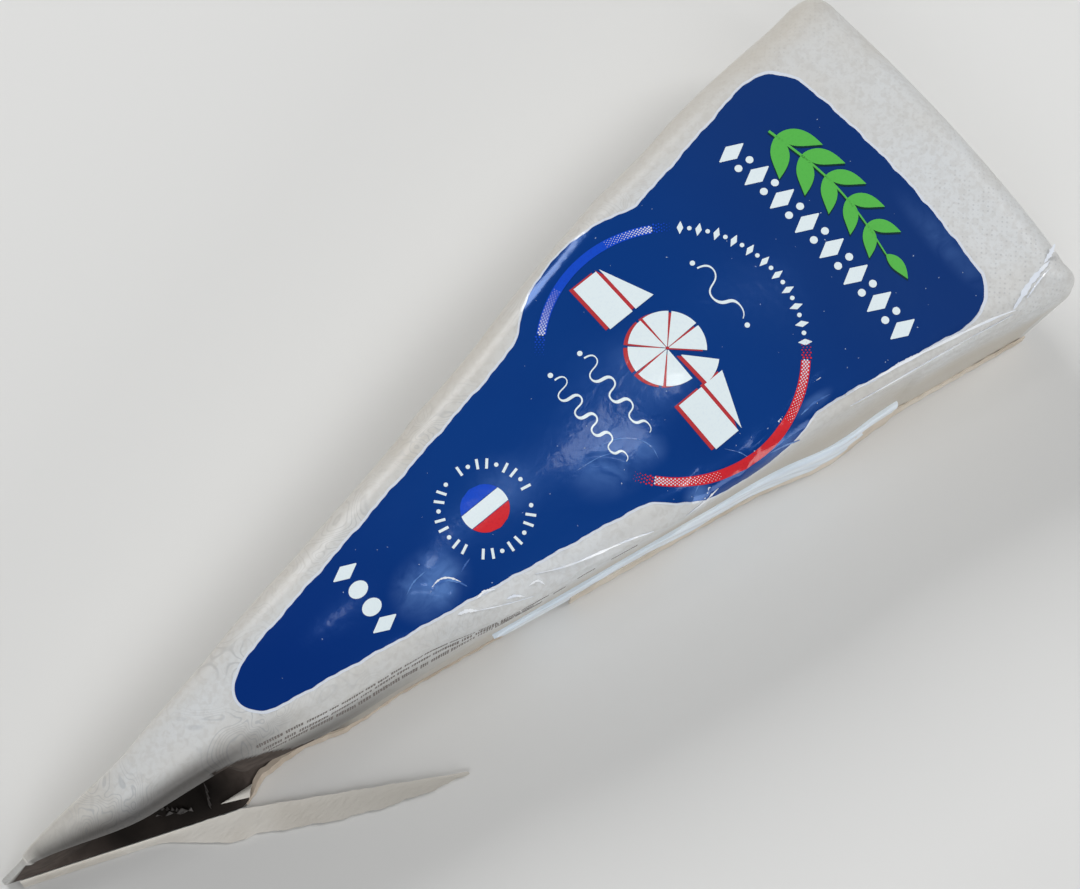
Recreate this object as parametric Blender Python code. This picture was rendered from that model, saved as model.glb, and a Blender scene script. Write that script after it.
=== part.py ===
"""A slice of soft cheese shut in its folded paper wrap, lying on one flat face.

Plan sizes are measured in millimetres from the apex, the point where the two long sides
of the slice would meet: x runs along the slice to the rind end, y across it, z up.
The near side is the side at -y and the far side is the side at +y.
"""

import math

import bmesh
import bpy
import numpy as np
from mathutils import Vector

MM = 0.001

# Slice, seen from above
SIDE_SLOPE = math.tan(math.radians(10.0))
NOSE_TOP_X = 7.0
NOSE_LEAN = (-6.4, 2.3)
RIND_X = 188.8
RIND_BOW = 1.9
FAR_BOW_SHARE = 0.35

# Heights
FULL_HEIGHT = 30.8
NOSE_HEIGHT = 15.0
NOSE_RISE_LENGTH = 18.5
CROWN = 1.2
CROWN_FULL_WIDTH = 40.0

# Rounding of the shoulder and of the bottom edge
NOSE_SHOULDER = 0.45
NEAR_SHOULDER = 3.4
FAR_SHOULDER = 4.6
FAR_RIND_SHOULDER = 5.8
RIND_SHOULDER = 4.4
SHOULDER_GROWS_X = (9.0, 72.0)
FAR_CORNER_X = (150.0, 181.0)
BOTTOM_EDGE = 1.2
BOTTOM_ROUND = 0.48
CORNER_FULLNESS = 0.22
CORNER_TUCK = 1.5

# Pinch of the nose: how far each long side moves towards +y, and between which stations it fades
NEAR_PINCH, NEAR_PINCH_X = 4.4, (4.0, 27.0)
FAR_PINCH, FAR_PINCH_X = 4.2, (0.0, 30.0)

# Soft bulges and hollows of the sides, each a depth and the stations between which it grows
NEAR_INSET, FAR_INSET = 0.3, 0.6
NEAR_BULGE, NEAR_BULGE_START_X, NEAR_BULGE_END_X = 1.5, (72.0, 86.0), (122.0, 142.0)
NEAR_CORNER, NEAR_CORNER_X = 0.7, (165.0, 182.0)
FAR_BULGE, FAR_BULGE_X = 1.5, (132.0, 24.0)
FAR_FALL, FAR_FALL_X = 1.5, (158.0, 188.0)
FOOT_HOLLOW, FOOT_HOLLOW_X = 0.7, (58.0, 68.0)
FOOT_BULGE, FOOT_BULGE_X = 1.5, (144.0, 8.0)
RIND_BULGE = 0.7

# Folded-in pocket at the near side of the nose, and the lip where it ends
POCKET_DEPTH, POCKET_START_X = 4.4, (5.0, 26.0)
POCKET_END_X = (37.0, 41.0)
POCKET_ROOF, POCKET_FLOOR = (0.0, 0.16), (0.8, 1.0)
VALLEY_DEPTH, VALLEY_END_X = 2.6, (48.0, 68.0)
LIP_Y = -9.2
LIP_SLOPE = -0.014
LIP_LEVELS = (0.7, 1.0)
STEM_SLOPE = -0.405
STEM_TIP = (1.6, 4.9)

# Sheet of the rind end folded round onto the near side
OVERFOLD_X = (158.0, 160.0)
OVERFOLD_STEP = 0.6
OVERFOLD_FOOT_SHARE = 0.4

# Closing strip along the foot of the near side
STRIP_START_X = 84.0
STRIP_END_X = 157.0
STRIP_LOW_Z = 1.4
STRIP_HIGH_Z = 13.0
STRIP_THICKNESS = 0.5
SHEET_GAP = 0.3

# Loose ear of the bottom sheet, lying beside the nose
FLAP_BEND_X = 36.0
FLAP_END_X = 67.2
FLAP_SLOPE = -0.598
FLAP_WIDTH, FLAP_WIDENS_X = 4.9, (22.0, 33.0)
FLAP_TAPER_X = 44.0
FLAP_STEM_WIDTH = 0.9
FLAP_GAP = 0.4
FLAP_THICKNESS = 0.6

# Mesh divisions
NOSE_STATIONS = 22
BODY_STATIONS = 20
NOSE_ZONE_END_X = 68.0
TOP_COLUMNS = 8
SHOULDER_STEPS = 4
CORNER_STEPS = 4
NOSE_CORNER_STEPS = 2
WALL_LEVELS = (0.0, 0.05, 0.12, 0.24, 0.42, 0.6, 0.76, 0.88, 0.95, 1.0)
BOTTOM_STEPS = 2
STRIP_STATIONS = 16
STRIP_ROWS = 4
FLAP_STATIONS = 24


def ease(low, high, x):
    """0 below low, 1 above high, and a smooth S curve between."""
    share = np.clip((x - low) / (high - low), 0.0, 1.0)
    return share * share * (3.0 - 2.0 * share)


def hump(centre, half_width, x):
    """1 at the centre, dying away smoothly on both sides."""
    return np.exp(-(((x - centre) / half_width) ** 2))


def crest_height(x):
    """Height of the rim of the top face: low at the tip, full along the body."""
    lost = (FULL_HEIGHT - NOSE_HEIGHT) * np.exp(-(x - NOSE_TOP_X) / NOSE_RISE_LENGTH)
    return FULL_HEIGHT - lost


def near_top_y(x):
    """Outermost line of the near shoulder: pinched at the nose and soft in the middle."""
    side = -SIDE_SLOPE * x - NEAR_INSET
    pinch = NEAR_PINCH * (1.0 - ease(*NEAR_PINCH_X, x))
    bulge = NEAR_BULGE * ease(*NEAR_BULGE_START_X, x) * (1.0 - ease(*NEAR_BULGE_END_X, x))
    corner = NEAR_CORNER * ease(*NEAR_CORNER_X, x)
    return side + pinch - bulge - corner


def far_y(x):
    """Outermost line of the far side, a little hollow at first and full near the rind."""
    side = SIDE_SLOPE * x - FAR_INSET
    pinch = FAR_PINCH * (1.0 - ease(*FAR_PINCH_X, x))
    bulge = FAR_BULGE * hump(*FAR_BULGE_X, x)
    return side + pinch + bulge - FAR_FALL * ease(*FAR_FALL_X, x)


def near_side_y(x):
    """Foot of the near side: straight and a little hollow, with one bulge."""
    hollow = FOOT_HOLLOW * ease(*FOOT_HOLLOW_X, x)
    return -SIDE_SLOPE * x + hollow - FOOT_BULGE * hump(*FOOT_BULGE_X, x)


def stem_y(x):
    """Straight line from the tip along the open edge of the pocket."""
    return STEM_TIP[1] + STEM_SLOPE * (x - STEM_TIP[0])


def near_base_y(x):
    """Foot of the near side: edge of the pocket floor, then the lip, then the straight side."""
    lip = LIP_Y + LIP_SLOPE * (x - POCKET_END_X[0])
    pocket = np.maximum(stem_y(x), lip)
    return np.where(x < POCKET_END_X[0], pocket, np.minimum(lip, near_side_y(x)))


def pocket_depth(x):
    """How far the near side is folded in: a deep pocket, then a shallow valley behind the lip."""
    pocket = POCKET_DEPTH * ease(*POCKET_START_X, x) * (1.0 - ease(*POCKET_END_X, x))
    valley = VALLEY_DEPTH * ease(*POCKET_END_X, x) * (1.0 - ease(*VALLEY_END_X, x))
    return pocket + valley


def near_wall_y(x, z, high, low):
    """The near side between its shoulder and its bottom edge."""
    down = np.clip((high - z) / (high - low), 0.0, 1.0)
    foot = np.maximum(near_side_y(x), stem_y(x))
    skin = near_top_y(x) + (foot - near_top_y(x)) * down
    flare = (near_base_y(x) - foot) * ease(*LIP_LEVELS, down)
    folded = pocket_depth(x) * ease(*POCKET_ROOF, down) * (1.0 - ease(*POCKET_FLOOR, down))
    step = OVERFOLD_STEP * (1.0 + (OVERFOLD_FOOT_SHARE - 1.0) * down)
    overfold = step * ease(*OVERFOLD_X, x)
    return skin + flare + folded - overfold


def near_shoulder(x):
    """Radius of the shoulder along the near side."""
    return NOSE_SHOULDER + (NEAR_SHOULDER - NOSE_SHOULDER) * ease(*SHOULDER_GROWS_X, x)


def far_shoulder(x):
    """Radius of the shoulder along the far side, largest at the rind corner."""
    body = NOSE_SHOULDER + (FAR_SHOULDER - NOSE_SHOULDER) * ease(*SHOULDER_GROWS_X, x)
    return body + (FAR_RIND_SHOULDER - FAR_SHOULDER) * ease(*FAR_CORNER_X, x)


def stations():
    """Places along the slice, closer together in the folded nose."""
    nose = np.linspace(NOSE_TOP_X + NOSE_SHOULDER, NOSE_ZONE_END_X, NOSE_STATIONS + 1)
    body = np.linspace(NOSE_ZONE_END_X, RIND_X - RIND_SHOULDER - RIND_BOW, BODY_STATIONS + 1)
    return np.concatenate([nose, body[1:]])


def top_grid():
    """Points of the top face as [station, column], inside the rounded shoulder."""
    along = stations()
    near = near_top_y(along) + near_shoulder(along)
    far = far_y(along) - far_shoulder(along)
    across = np.linspace(-1.0, 1.0, TOP_COLUMNS + 1)
    middle = 1.0 - across**2
    share = (along - along[0]) / (along[-1] - along[0])
    bow = 1.0 - np.where(across > 0.0, FAR_BOW_SHARE, 1.0) * np.abs(across) ** 3
    x = along[:, None] + RIND_BOW * share[:, None] ** 4 * bow
    y = (near + far)[:, None] / 2.0 + (far - near)[:, None] / 2.0 * across
    fullness = np.minimum(1.0, (far - near) / CROWN_FULL_WIDTH)
    z = crest_height(along)[:, None] + CROWN * fullness[:, None] * middle
    return np.stack([x, y, z], axis=2)


class Rim:
    """One upright line of the side: where it leaves the top face and which way it faces."""

    def __init__(self, row, column, angle, reach, lean=(0.0, 0.0), full=0.0):
        self.row = row
        self.column = column
        self.facing = (math.cos(angle), math.sin(angle))
        self.reach = reach
        self.out = reach * (1.0 + full * math.sin(2.0 * angle) ** 2)
        self.lean = lean


def rim_lines(top):
    """The lines of the side, anticlockwise from the tip along the near side."""
    last = len(top) - 1
    near, rind, far, nose = -math.pi / 2, 0.0, math.pi / 2, math.pi
    half_lean = (NOSE_LEAN[0] / 2.0, NOSE_LEAN[1] / 2.0)
    lines = []
    for row in range(last + 1):
        lines.append(Rim(row, 0, near, near_shoulder(top[row, 0, 0])))
    for turn in np.linspace(near, rind, CORNER_STEPS + 1)[1:-1]:
        lines.append(Rim(last, 0, turn, RIND_SHOULDER, (0.0, CORNER_TUCK), CORNER_FULLNESS))
    for column in range(TOP_COLUMNS + 1):
        share = column / TOP_COLUMNS
        reach = RIND_SHOULDER + (FAR_RIND_SHOULDER - RIND_SHOULDER) * share**4
        lines.append(Rim(last, column, rind, reach, (0.0, CORNER_TUCK * (1.0 - share) ** 3)))
    for turn in np.linspace(rind, far, CORNER_STEPS + 1)[1:-1]:
        lines.append(Rim(last, TOP_COLUMNS, turn, FAR_RIND_SHOULDER, full=CORNER_FULLNESS / 2))
    for row in range(last, -1, -1):
        lines.append(Rim(row, TOP_COLUMNS, far, far_shoulder(top[row, 0, 0])))
    for turn in np.linspace(far, nose, NOSE_CORNER_STEPS + 1)[1:-1]:
        lines.append(Rim(0, TOP_COLUMNS, turn, NOSE_SHOULDER, half_lean))
    for column in range(TOP_COLUMNS, -1, -1):
        lines.append(Rim(0, column, nose, NOSE_SHOULDER, NOSE_LEAN))
    for turn in np.linspace(nose, 2 * math.pi + near, NOSE_CORNER_STEPS + 1)[1:-1]:
        lines.append(Rim(0, 0, turn, NOSE_SHOULDER, half_lean))
    return lines


def side_points(rim, start):
    """One upright line: round the shoulder, down the wall and round the bottom edge."""
    x, y, z = start
    points = []
    for step in range(1, SHOULDER_STEPS + 1):
        turn = math.pi / 2 * step / SHOULDER_STEPS
        out = rim.out * math.sin(turn)
        points.append((out, 0.0, z - rim.reach * (1.0 - math.cos(turn))))
    high = points[-1][2]
    for level in WALL_LEVELS[1:]:
        height = high + (BOTTOM_EDGE - high) * level
        if rim.facing[1] < -0.999:
            out = y - float(near_wall_y(x, height, high, BOTTOM_EDGE))
        else:
            swell = RIND_BULGE * max(0.0, rim.facing[0]) * math.sin(math.pi * level)
            out = rim.out + swell
        points.append((out, level, height))
    wall = points[-1][0]
    for step in range(1, BOTTOM_STEPS + 1):
        turn = math.pi / 2 * step / BOTTOM_STEPS
        inward = BOTTOM_ROUND * (1.0 - math.cos(turn))
        points.append((wall - inward, 1.0, BOTTOM_EDGE * (1.0 - math.sin(turn))))
    face_x, face_y = rim.facing
    lean_x, lean_y = rim.lean
    return [
        (x + face_x * out + lean_x * level, y + face_y * out + lean_y * level, height)
        for out, level, height in points
    ]


def wedge_mesh():
    """The whole slice in its wrap, as one closed mesh."""
    top = top_grid()
    rows, columns = top.shape[:2]
    mesh = bmesh.new()
    grid = [[mesh.verts.new(top[r, c]) for c in range(columns)] for r in range(rows)]
    for r in range(rows - 1):
        for c in range(columns - 1):
            mesh.faces.new((grid[r][c], grid[r + 1][c], grid[r + 1][c + 1], grid[r][c + 1]))
    lines = rim_lines(top)
    sides = []
    for rim in lines:
        first = grid[rim.row][rim.column]
        below = [mesh.verts.new(p) for p in side_points(rim, top[rim.row, rim.column])]
        sides.append([first] + below)
    for here, there in zip(sides, sides[1:] + sides[:1]):
        for upper in range(len(here) - 1):
            corners = [here[upper], here[upper + 1], there[upper + 1], there[upper]]
            if corners[0] is corners[3]:
                corners.pop()
            mesh.faces.new(corners)
    close_base(mesh, lines, sides, rows)
    bmesh.ops.recalc_face_normals(mesh, faces=mesh.faces)
    return mesh


def close_base(mesh, lines, sides, rows):
    """Flat underside: strips from both long sides to a middle line, and a fan at each end."""
    feet = [side[-1] for side in sides]
    near = feet[:rows]
    far_start = next(i for i, rim in enumerate(lines) if rim.column and rim.facing[1] > 0.999)
    far = feet[far_start : far_start + rows][::-1]
    middle = [mesh.verts.new((a.co + b.co) / 2.0) for a, b in zip(near, far)]
    for r in range(rows - 1):
        mesh.faces.new((near[r], middle[r], middle[r + 1], near[r + 1]))
        mesh.faces.new((far[r], far[r + 1], middle[r + 1], middle[r]))
    rind_feet = feet[rows - 1 : far_start + 1]
    nose_feet = feet[far_start + rows - 1 :] + feet[:1]
    for ends, hub in ((rind_feet, middle[-1]), (nose_feet, middle[0])):
        for a, b in zip(ends, ends[1:]):
            mesh.faces.new((a, hub, b))


def sheet_mesh(inner, outer):
    """A closed thin sheet between two equal grids of points."""
    rows, columns = inner.shape[:2]
    mesh = bmesh.new()
    skins = [
        [[mesh.verts.new(skin[r, c]) for c in range(columns)] for r in range(rows)]
        for skin in (inner, outer)
    ]
    for skin in skins:
        for r in range(rows - 1):
            for c in range(columns - 1):
                mesh.faces.new((skin[r][c], skin[r + 1][c], skin[r + 1][c + 1], skin[r][c + 1]))
    loop = [(r, 0) for r in range(rows)]
    loop += [(rows - 1, c) for c in range(1, columns)]
    loop += [(r, columns - 1) for r in range(rows - 2, -1, -1)]
    loop += [(0, c) for c in range(columns - 2, 0, -1)]
    for (ra, ca), (rb, cb) in zip(loop, loop[1:] + loop[:1]):
        mesh.faces.new((skins[0][ra][ca], skins[0][rb][cb], skins[1][rb][cb], skins[1][ra][ca]))
    bmesh.ops.recalc_face_normals(mesh, faces=mesh.faces)
    return mesh


def strip_mesh():
    """The strip that closes the wrap along the foot of the near side."""
    along = np.linspace(STRIP_START_X, STRIP_END_X, STRIP_STATIONS + 1)
    up = np.linspace(STRIP_LOW_Z, STRIP_HIGH_Z, STRIP_ROWS + 1)
    x, z = np.meshgrid(along, up, indexing="ij")
    wall = near_wall_y(x, z, crest_height(x) - near_shoulder(x), BOTTOM_EDGE)
    inner = np.stack([x, wall - SHEET_GAP, z], axis=2)
    outer = np.stack([x, wall - SHEET_GAP - STRIP_THICKNESS, z], axis=2)
    return sheet_mesh(inner, outer)


def flap_mesh():
    """The long loose ear of the bottom sheet: a narrow stem, a bend, and a pointed end."""
    x = np.linspace(STEM_TIP[0] + 1.0, FLAP_END_X, FLAP_STATIONS + 1)
    bent = (FLAP_SLOPE - STEM_SLOPE) * np.maximum(0.0, x - FLAP_BEND_X)
    inside = stem_y(x) + bent - FLAP_GAP
    taper = 1.0 - np.clip((x - FLAP_TAPER_X) / (FLAP_END_X - FLAP_TAPER_X), 0.0, 1.0) ** 1.5
    spread = (FLAP_WIDTH - FLAP_STEM_WIDTH) * ease(*FLAP_WIDENS_X, x) * taper
    outside = inside - FLAP_STEM_WIDTH - spread
    plan = np.stack([np.stack([x, x], 1), np.stack([inside, outside], 1)], axis=2)
    flat = np.zeros(plan.shape[:2] + (1,))
    under = np.concatenate([plan, flat], axis=2)
    over = np.concatenate([plan, flat + FLAP_THICKNESS], axis=2)
    return sheet_mesh(under, over)


def finish(name, colour, roughness):
    """A plain material in the colour of the real sheet."""
    material = bpy.data.materials.new(name)
    material.use_nodes = True
    shader = material.node_tree.nodes["Principled BSDF"]
    shader.inputs["Base Color"].default_value = (*colour, 1.0)
    shader.inputs["Roughness"].default_value = roughness
    shader.inputs["Metallic"].default_value = 0.0
    return material


def add_object(name, mesh, shift, material):
    """Moves a mesh from apex millimetres to the object's frame in metres and shows it."""
    for vertex in mesh.verts:
        vertex.co = (vertex.co + shift) * MM
    data = bpy.data.meshes.new(name)
    mesh.to_mesh(data)
    mesh.free()
    data.shade_smooth()
    data.set_sharp_from_angle(angle=math.radians(40.0))
    data.materials.append(material)
    bpy.context.scene.collection.objects.link(bpy.data.objects.new(name, data))


def main():
    for old in list(bpy.data.objects):
        bpy.data.objects.remove(old)
    wedge, strip, flap = wedge_mesh(), strip_mesh(), flap_mesh()
    places = np.array([v.co[:] for piece in (wedge, strip, flap) for v in piece.verts])
    low, high = places.min(axis=0), places.max(axis=0)
    centre = (low + high) / 2.0
    shift = Vector((-centre[0], -centre[1], -low[2]))
    add_object("wrapped_wedge", wedge, shift, finish("wrap_paper", (0.62, 0.61, 0.59), 0.5))
    add_object("closing_strip", strip, shift, finish("closing_film", (0.55, 0.62, 0.68), 0.3))
    add_object("loose_flap", flap, shift, finish("flap_paper", (0.5, 0.49, 0.46), 0.6))


main()
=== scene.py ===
"""Looks of a slice of soft cheese shut in its printed paper wrap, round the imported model.

Shapes are worked out in "sheet millimetres": x from the apex of the slice to its rind end,
y across it (near side at -y), z up. The wrap is one sheet laid over the slice, so every
place on it also has flat coordinates (u, w): on the top face they are x and y, and past the
rim they go on along the outward direction, by the length of sheet that lies there. Prints,
creases and patterns are placed in these flat coordinates, so that they follow the folds.
"""

import logging
import math
from dataclasses import dataclass, field
from enum import Enum

import bpy
import numpy as np
from mathutils import Euler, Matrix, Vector


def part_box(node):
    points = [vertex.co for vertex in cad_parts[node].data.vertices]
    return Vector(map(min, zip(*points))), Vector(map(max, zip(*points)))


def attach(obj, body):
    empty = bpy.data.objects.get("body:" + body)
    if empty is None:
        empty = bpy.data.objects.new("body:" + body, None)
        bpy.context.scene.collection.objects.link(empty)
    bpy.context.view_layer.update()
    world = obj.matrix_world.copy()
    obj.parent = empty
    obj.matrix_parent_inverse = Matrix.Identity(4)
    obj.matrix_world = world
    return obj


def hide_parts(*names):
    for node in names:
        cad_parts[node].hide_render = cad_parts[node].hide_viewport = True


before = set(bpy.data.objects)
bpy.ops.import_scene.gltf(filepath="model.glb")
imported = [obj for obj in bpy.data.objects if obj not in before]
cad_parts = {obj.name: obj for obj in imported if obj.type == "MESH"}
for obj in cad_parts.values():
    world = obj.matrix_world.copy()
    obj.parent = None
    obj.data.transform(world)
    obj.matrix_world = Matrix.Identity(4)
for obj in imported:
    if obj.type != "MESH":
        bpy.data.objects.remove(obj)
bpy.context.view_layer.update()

MM = 0.001
BODY = "root"
BAKE_MAP = "OFBake"
SHEET_MAP = "Sheet"
SHEET_UNIT = 100.0
RIGHT_ANGLE = math.pi / 2.0

log = logging.getLogger("wrapped_wedge")

Array = np.ndarray
Span = tuple[float, float]
Spot = tuple[float, float, float]
Waves = tuple[Spot, ...]


class Slot(Enum):
    """Material slots of the record, which each piece is logged with."""

    WRAP = "wrap_paper"
    CLOSING = "closing_film"
    FLAP = "flap_paper"


class Fold(Enum):
    """Cross-section of a crease in the film."""

    ROOF = "two flat flanks meeting in a sharp line"
    SOFT = "a rounded swell"


def ease(low: float, high: float, x: Array) -> Array:
    """Runs from 0 to 1 between two places, as the S curve s * s * (3 - 2 s).

    Args:
        low: Where the value is still 0.
        high: Where the value has become 1.
        x: Places to work out.

    Returns:
        The share at each place.
    """
    share = np.clip((x - low) / (high - low), 0.0, 1.0)
    return share * share * (3.0 - 2.0 * share)


def hump(centre: float, half_width: float, x: Array) -> Array:
    """Bell curve that is 1 at its centre: exp(-((x - centre) / half_width) squared)."""
    return np.exp(-(((x - centre) / half_width) ** 2))


def join(*parts: Array | float) -> Array:
    """Puts coordinates together in the last axis, after spreading them over one grid."""
    return np.stack(np.broadcast_arrays(*parts), axis=-1)


def ripple(x: Array, waves: Waves) -> Array:
    """Sums sine waves, each an amplitude, a wave length and a phase."""
    return sum(size * np.sin(2.0 * math.pi * x / length + phase) for size, length, phase in waves)


@dataclass(frozen=True)
class SliceShape:
    """Smooth form of the wrapped slice, in sheet millimetres, as the solid has it."""

    side_slope: float = math.tan(math.radians(10.0))
    nose_top_x: float = 7.0
    nose_lean: Span = (-6.4, 2.3)
    rind_x: float = 188.8
    rind_bow: float = 1.9
    far_bow_share: float = 0.35
    full_height: float = 30.8
    nose_height: float = 15.0
    nose_rise_length: float = 18.5
    crown: float = 1.2
    crown_full_width: float = 40.0
    nose_shoulder: float = 0.45
    near_nose_shoulder: float = 1.6
    near_nose_x: Span = (8.0, 20.0)
    near_shoulder_size: float = 3.4
    far_shoulder_size: float = 4.6
    far_rind_shoulder: float = 5.8
    rind_shoulder: float = 4.4
    shoulder_grows_x: Span = (9.0, 72.0)
    far_corner_x: Span = (150.0, 181.0)
    bottom_edge: float = 1.2
    bottom_round: float = 0.48
    corner_fullness: float = 0.22
    corner_tuck: float = 1.5
    near_pinch: float = 4.4
    near_pinch_x: Span = (4.0, 27.0)
    far_pinch: float = 4.2
    far_pinch_x: Span = (0.0, 30.0)
    near_inset: float = 0.3
    far_inset: float = 0.6
    near_bulge: float = 1.5
    near_bulge_start_x: Span = (72.0, 86.0)
    near_bulge_end_x: Span = (122.0, 142.0)
    near_corner: float = 0.7
    near_corner_x: Span = (165.0, 182.0)
    far_bulge: float = 1.5
    far_bulge_x: Span = (132.0, 24.0)
    far_fall: float = 1.5
    far_fall_x: Span = (158.0, 188.0)
    foot_hollow: float = 0.7
    foot_hollow_x: Span = (58.0, 68.0)
    foot_bulge: float = 1.5
    foot_bulge_x: Span = (144.0, 8.0)
    rind_swell: float = 0.7
    pocket_depth_full: float = 4.4
    pocket_start_x: Span = (5.0, 26.0)
    pocket_end_x: Span = (37.0, 41.0)
    pocket_roof: Span = (0.0, 0.16)
    pocket_floor: Span = (0.88, 1.0)
    valley_depth: float = 2.6
    valley_end_x: Span = (48.0, 68.0)
    valley_roof: Span = (0.42, 0.7)
    belly: float = 1.6
    belly_start_x: Span = (38.0, 56.0)
    belly_end_x: Span = (70.0, 86.0)
    belly_levels: Span = (0.36, 0.75)
    lip_y: float = -9.25
    lip_slope: float = -0.052
    lip_hollow: float = 2.1
    lip_hollow_start_x: Span = (36.0, 43.0)
    lip_hollow_end_x: Span = (48.0, 58.0)
    lip_joins_x: Span = (54.0, 62.0)
    lip_levels: Span = (0.86, 1.0)
    stem_slope: float = -0.405
    stem_tip: Span = (1.6, 4.9)
    overfold_x: Span = (157.6, 158.8)
    overfold_step: float = 0.6
    overfold_foot_share: float = 0.4
    overfold_levels: Span = (0.0, 0.12)

    def crest_height(self, x: Array) -> Array:
        """Height of the top face's rim: it rises from the tip as 1 - exp(-distance / length).

        Args:
            x: Places along the slice.

        Returns:
            The height at each place.
        """
        lost = (self.full_height - self.nose_height) * np.exp(
            -(x - self.nose_top_x) / self.nose_rise_length
        )
        return self.full_height - lost

    def near_top_y(self, x: Array) -> Array:
        """Outermost line of the near shoulder: a straight side, pinched at the nose, bulging.

        Args:
            x: Places along the slice.

        Returns:
            The line at each place.
        """
        pinch = self.near_pinch * (1.0 - ease(*self.near_pinch_x, x))
        start = ease(*self.near_bulge_start_x, x)
        bulge = self.near_bulge * start * (1.0 - ease(*self.near_bulge_end_x, x))
        corner = self.near_corner * ease(*self.near_corner_x, x)
        return -self.side_slope * x - self.near_inset + pinch - bulge - corner

    def far_y(self, x: Array) -> Array:
        """Outermost line of the far side: a straight side, pinched, bulging and falling off.

        Args:
            x: Places along the slice.

        Returns:
            The line at each place.
        """
        pinch = self.far_pinch * (1.0 - ease(*self.far_pinch_x, x))
        bulge = self.far_bulge * hump(*self.far_bulge_x, x)
        fall = self.far_fall * ease(*self.far_fall_x, x)
        return self.side_slope * x - self.far_inset + pinch + bulge - fall

    def near_shoulder(self, x: Array) -> Array:
        """Radius of the shoulder along the near side, growing from the nose.

        Args:
            x: Places along the slice.

        Returns:
            The radius at each place.
        """
        nose = self.near_nose_shoulder - self.nose_shoulder
        growth = self.near_shoulder_size - self.near_nose_shoulder
        nose = self.nose_shoulder + nose * ease(*self.near_nose_x, x)
        return nose + growth * ease(*self.shoulder_grows_x, x)

    def far_shoulder(self, x: Array) -> Array:
        """Radius of the shoulder along the far side, largest at the rind corner.

        Args:
            x: Places along the slice.

        Returns:
            The radius at each place.
        """
        growth = self.far_shoulder_size - self.nose_shoulder
        body = self.nose_shoulder + growth * ease(*self.shoulder_grows_x, x)
        extra = self.far_rind_shoulder - self.far_shoulder_size
        return body + extra * ease(*self.far_corner_x, x)

    def near_edge(self, x: Array) -> Array:
        """Near rim of the top face, where the shoulder starts."""
        return self.near_top_y(x) + self.near_shoulder(x)

    def far_edge(self, x: Array) -> Array:
        """Far rim of the top face, where the shoulder starts."""
        return self.far_y(x) - self.far_shoulder(x)

    def near_side_y(self, x: Array) -> Array:
        """Foot of the near side: straight, a little hollow, with one bulge."""
        hollow = self.foot_hollow * ease(*self.foot_hollow_x, x)
        return -self.side_slope * x + hollow - self.foot_bulge * hump(*self.foot_bulge_x, x)

    def stem_y(self, x: Array) -> Array:
        """Straight line from the tip along the open edge of the pocket."""
        return self.stem_tip[1] + self.stem_slope * (x - self.stem_tip[0])

    def near_base_y(self, x: Array) -> Array:
        """Foot of the near side: the pocket floor's edge, then the lip, then the straight side.

        Args:
            x: Places along the slice.

        Returns:
            The line at each place.
        """
        hollow = ease(*self.lip_hollow_start_x, x) * (1.0 - ease(*self.lip_hollow_end_x, x))
        lip = self.lip_y + self.lip_slope * (x - self.pocket_end_x[0]) + self.lip_hollow * hollow
        pocket = np.maximum(self.stem_y(x), lip)
        side = lip + (self.near_side_y(x) - lip) * ease(*self.lip_joins_x, x)
        return np.where(x < self.pocket_end_x[0], pocket, side)

    def folded_in(self, x: Array, down: Array) -> Array:
        """How far the near side is folded in: a deep pocket, then a valley low on the side.

        Args:
            x: Places along the slice.
            down: Share down the wall, from the shoulder's foot to the bottom edge.

        Returns:
            The depth at each place.
        """
        ends = ease(*self.pocket_end_x, x)
        pocket = self.pocket_depth_full * ease(*self.pocket_start_x, x) * (1.0 - ends)
        valley = self.valley_depth * ends * (1.0 - ease(*self.valley_end_x, x))
        depth = pocket * ease(*self.pocket_roof, down) + valley * ease(*self.valley_roof, down)
        return depth * (1.0 - ease(*self.pocket_floor, down))

    def belly_out(self, x: Array, down: Array) -> Array:
        """How far the near side swells out above the valley, as a rise and a fall.

        Args:
            x: Places along the slice.
            down: Share down the wall, from the shoulder's foot to the bottom edge.

        Returns:
            The swell at each place.
        """
        along = ease(*self.belly_start_x, x) * (1.0 - ease(*self.belly_end_x, x))
        crest, foot = self.belly_levels
        return self.belly * along * ease(0.0, crest, down) * (1.0 - ease(crest, foot, down))

    def near_wall_y(self, x: Array, down: Array) -> Array:
        """The near side, for a share down from its shoulder to its bottom edge.

        Args:
            x: Places along the slice.
            down: Share down the wall, from the shoulder's foot to the bottom edge.

        Returns:
            The coordinate y of the side.
        """
        foot = np.maximum(self.near_side_y(x), self.stem_y(x))
        skin = self.near_top_y(x) + (foot - self.near_top_y(x)) * down
        flare = (self.near_base_y(x) - foot) * ease(*self.lip_levels, down)
        folded = self.folded_in(x, down) - self.belly_out(x, down)
        step = self.overfold_step * (1.0 + (self.overfold_foot_share - 1.0) * down)
        step = step * ease(*self.overfold_levels, down)
        return skin + flare + folded - step * ease(*self.overfold_x, x)

    def top_height(self, x: Array, y: Array) -> Array:
        """Height of the top face: the rim's height and a crown of (1 - t squared) to the 1.5.

        Args:
            x: Places along the slice.
            y: Places across it.

        Returns:
            The height at each place.
        """
        near, far = self.near_edge(x), self.far_edge(x)
        across = np.clip((2.0 * y - near - far) / (far - near), -1.0, 1.0)
        fullness = np.minimum(1.0, (far - near) / self.crown_full_width)
        return self.crest_height(x) + self.crown * fullness * (1.0 - across**2) ** 1.5

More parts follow.
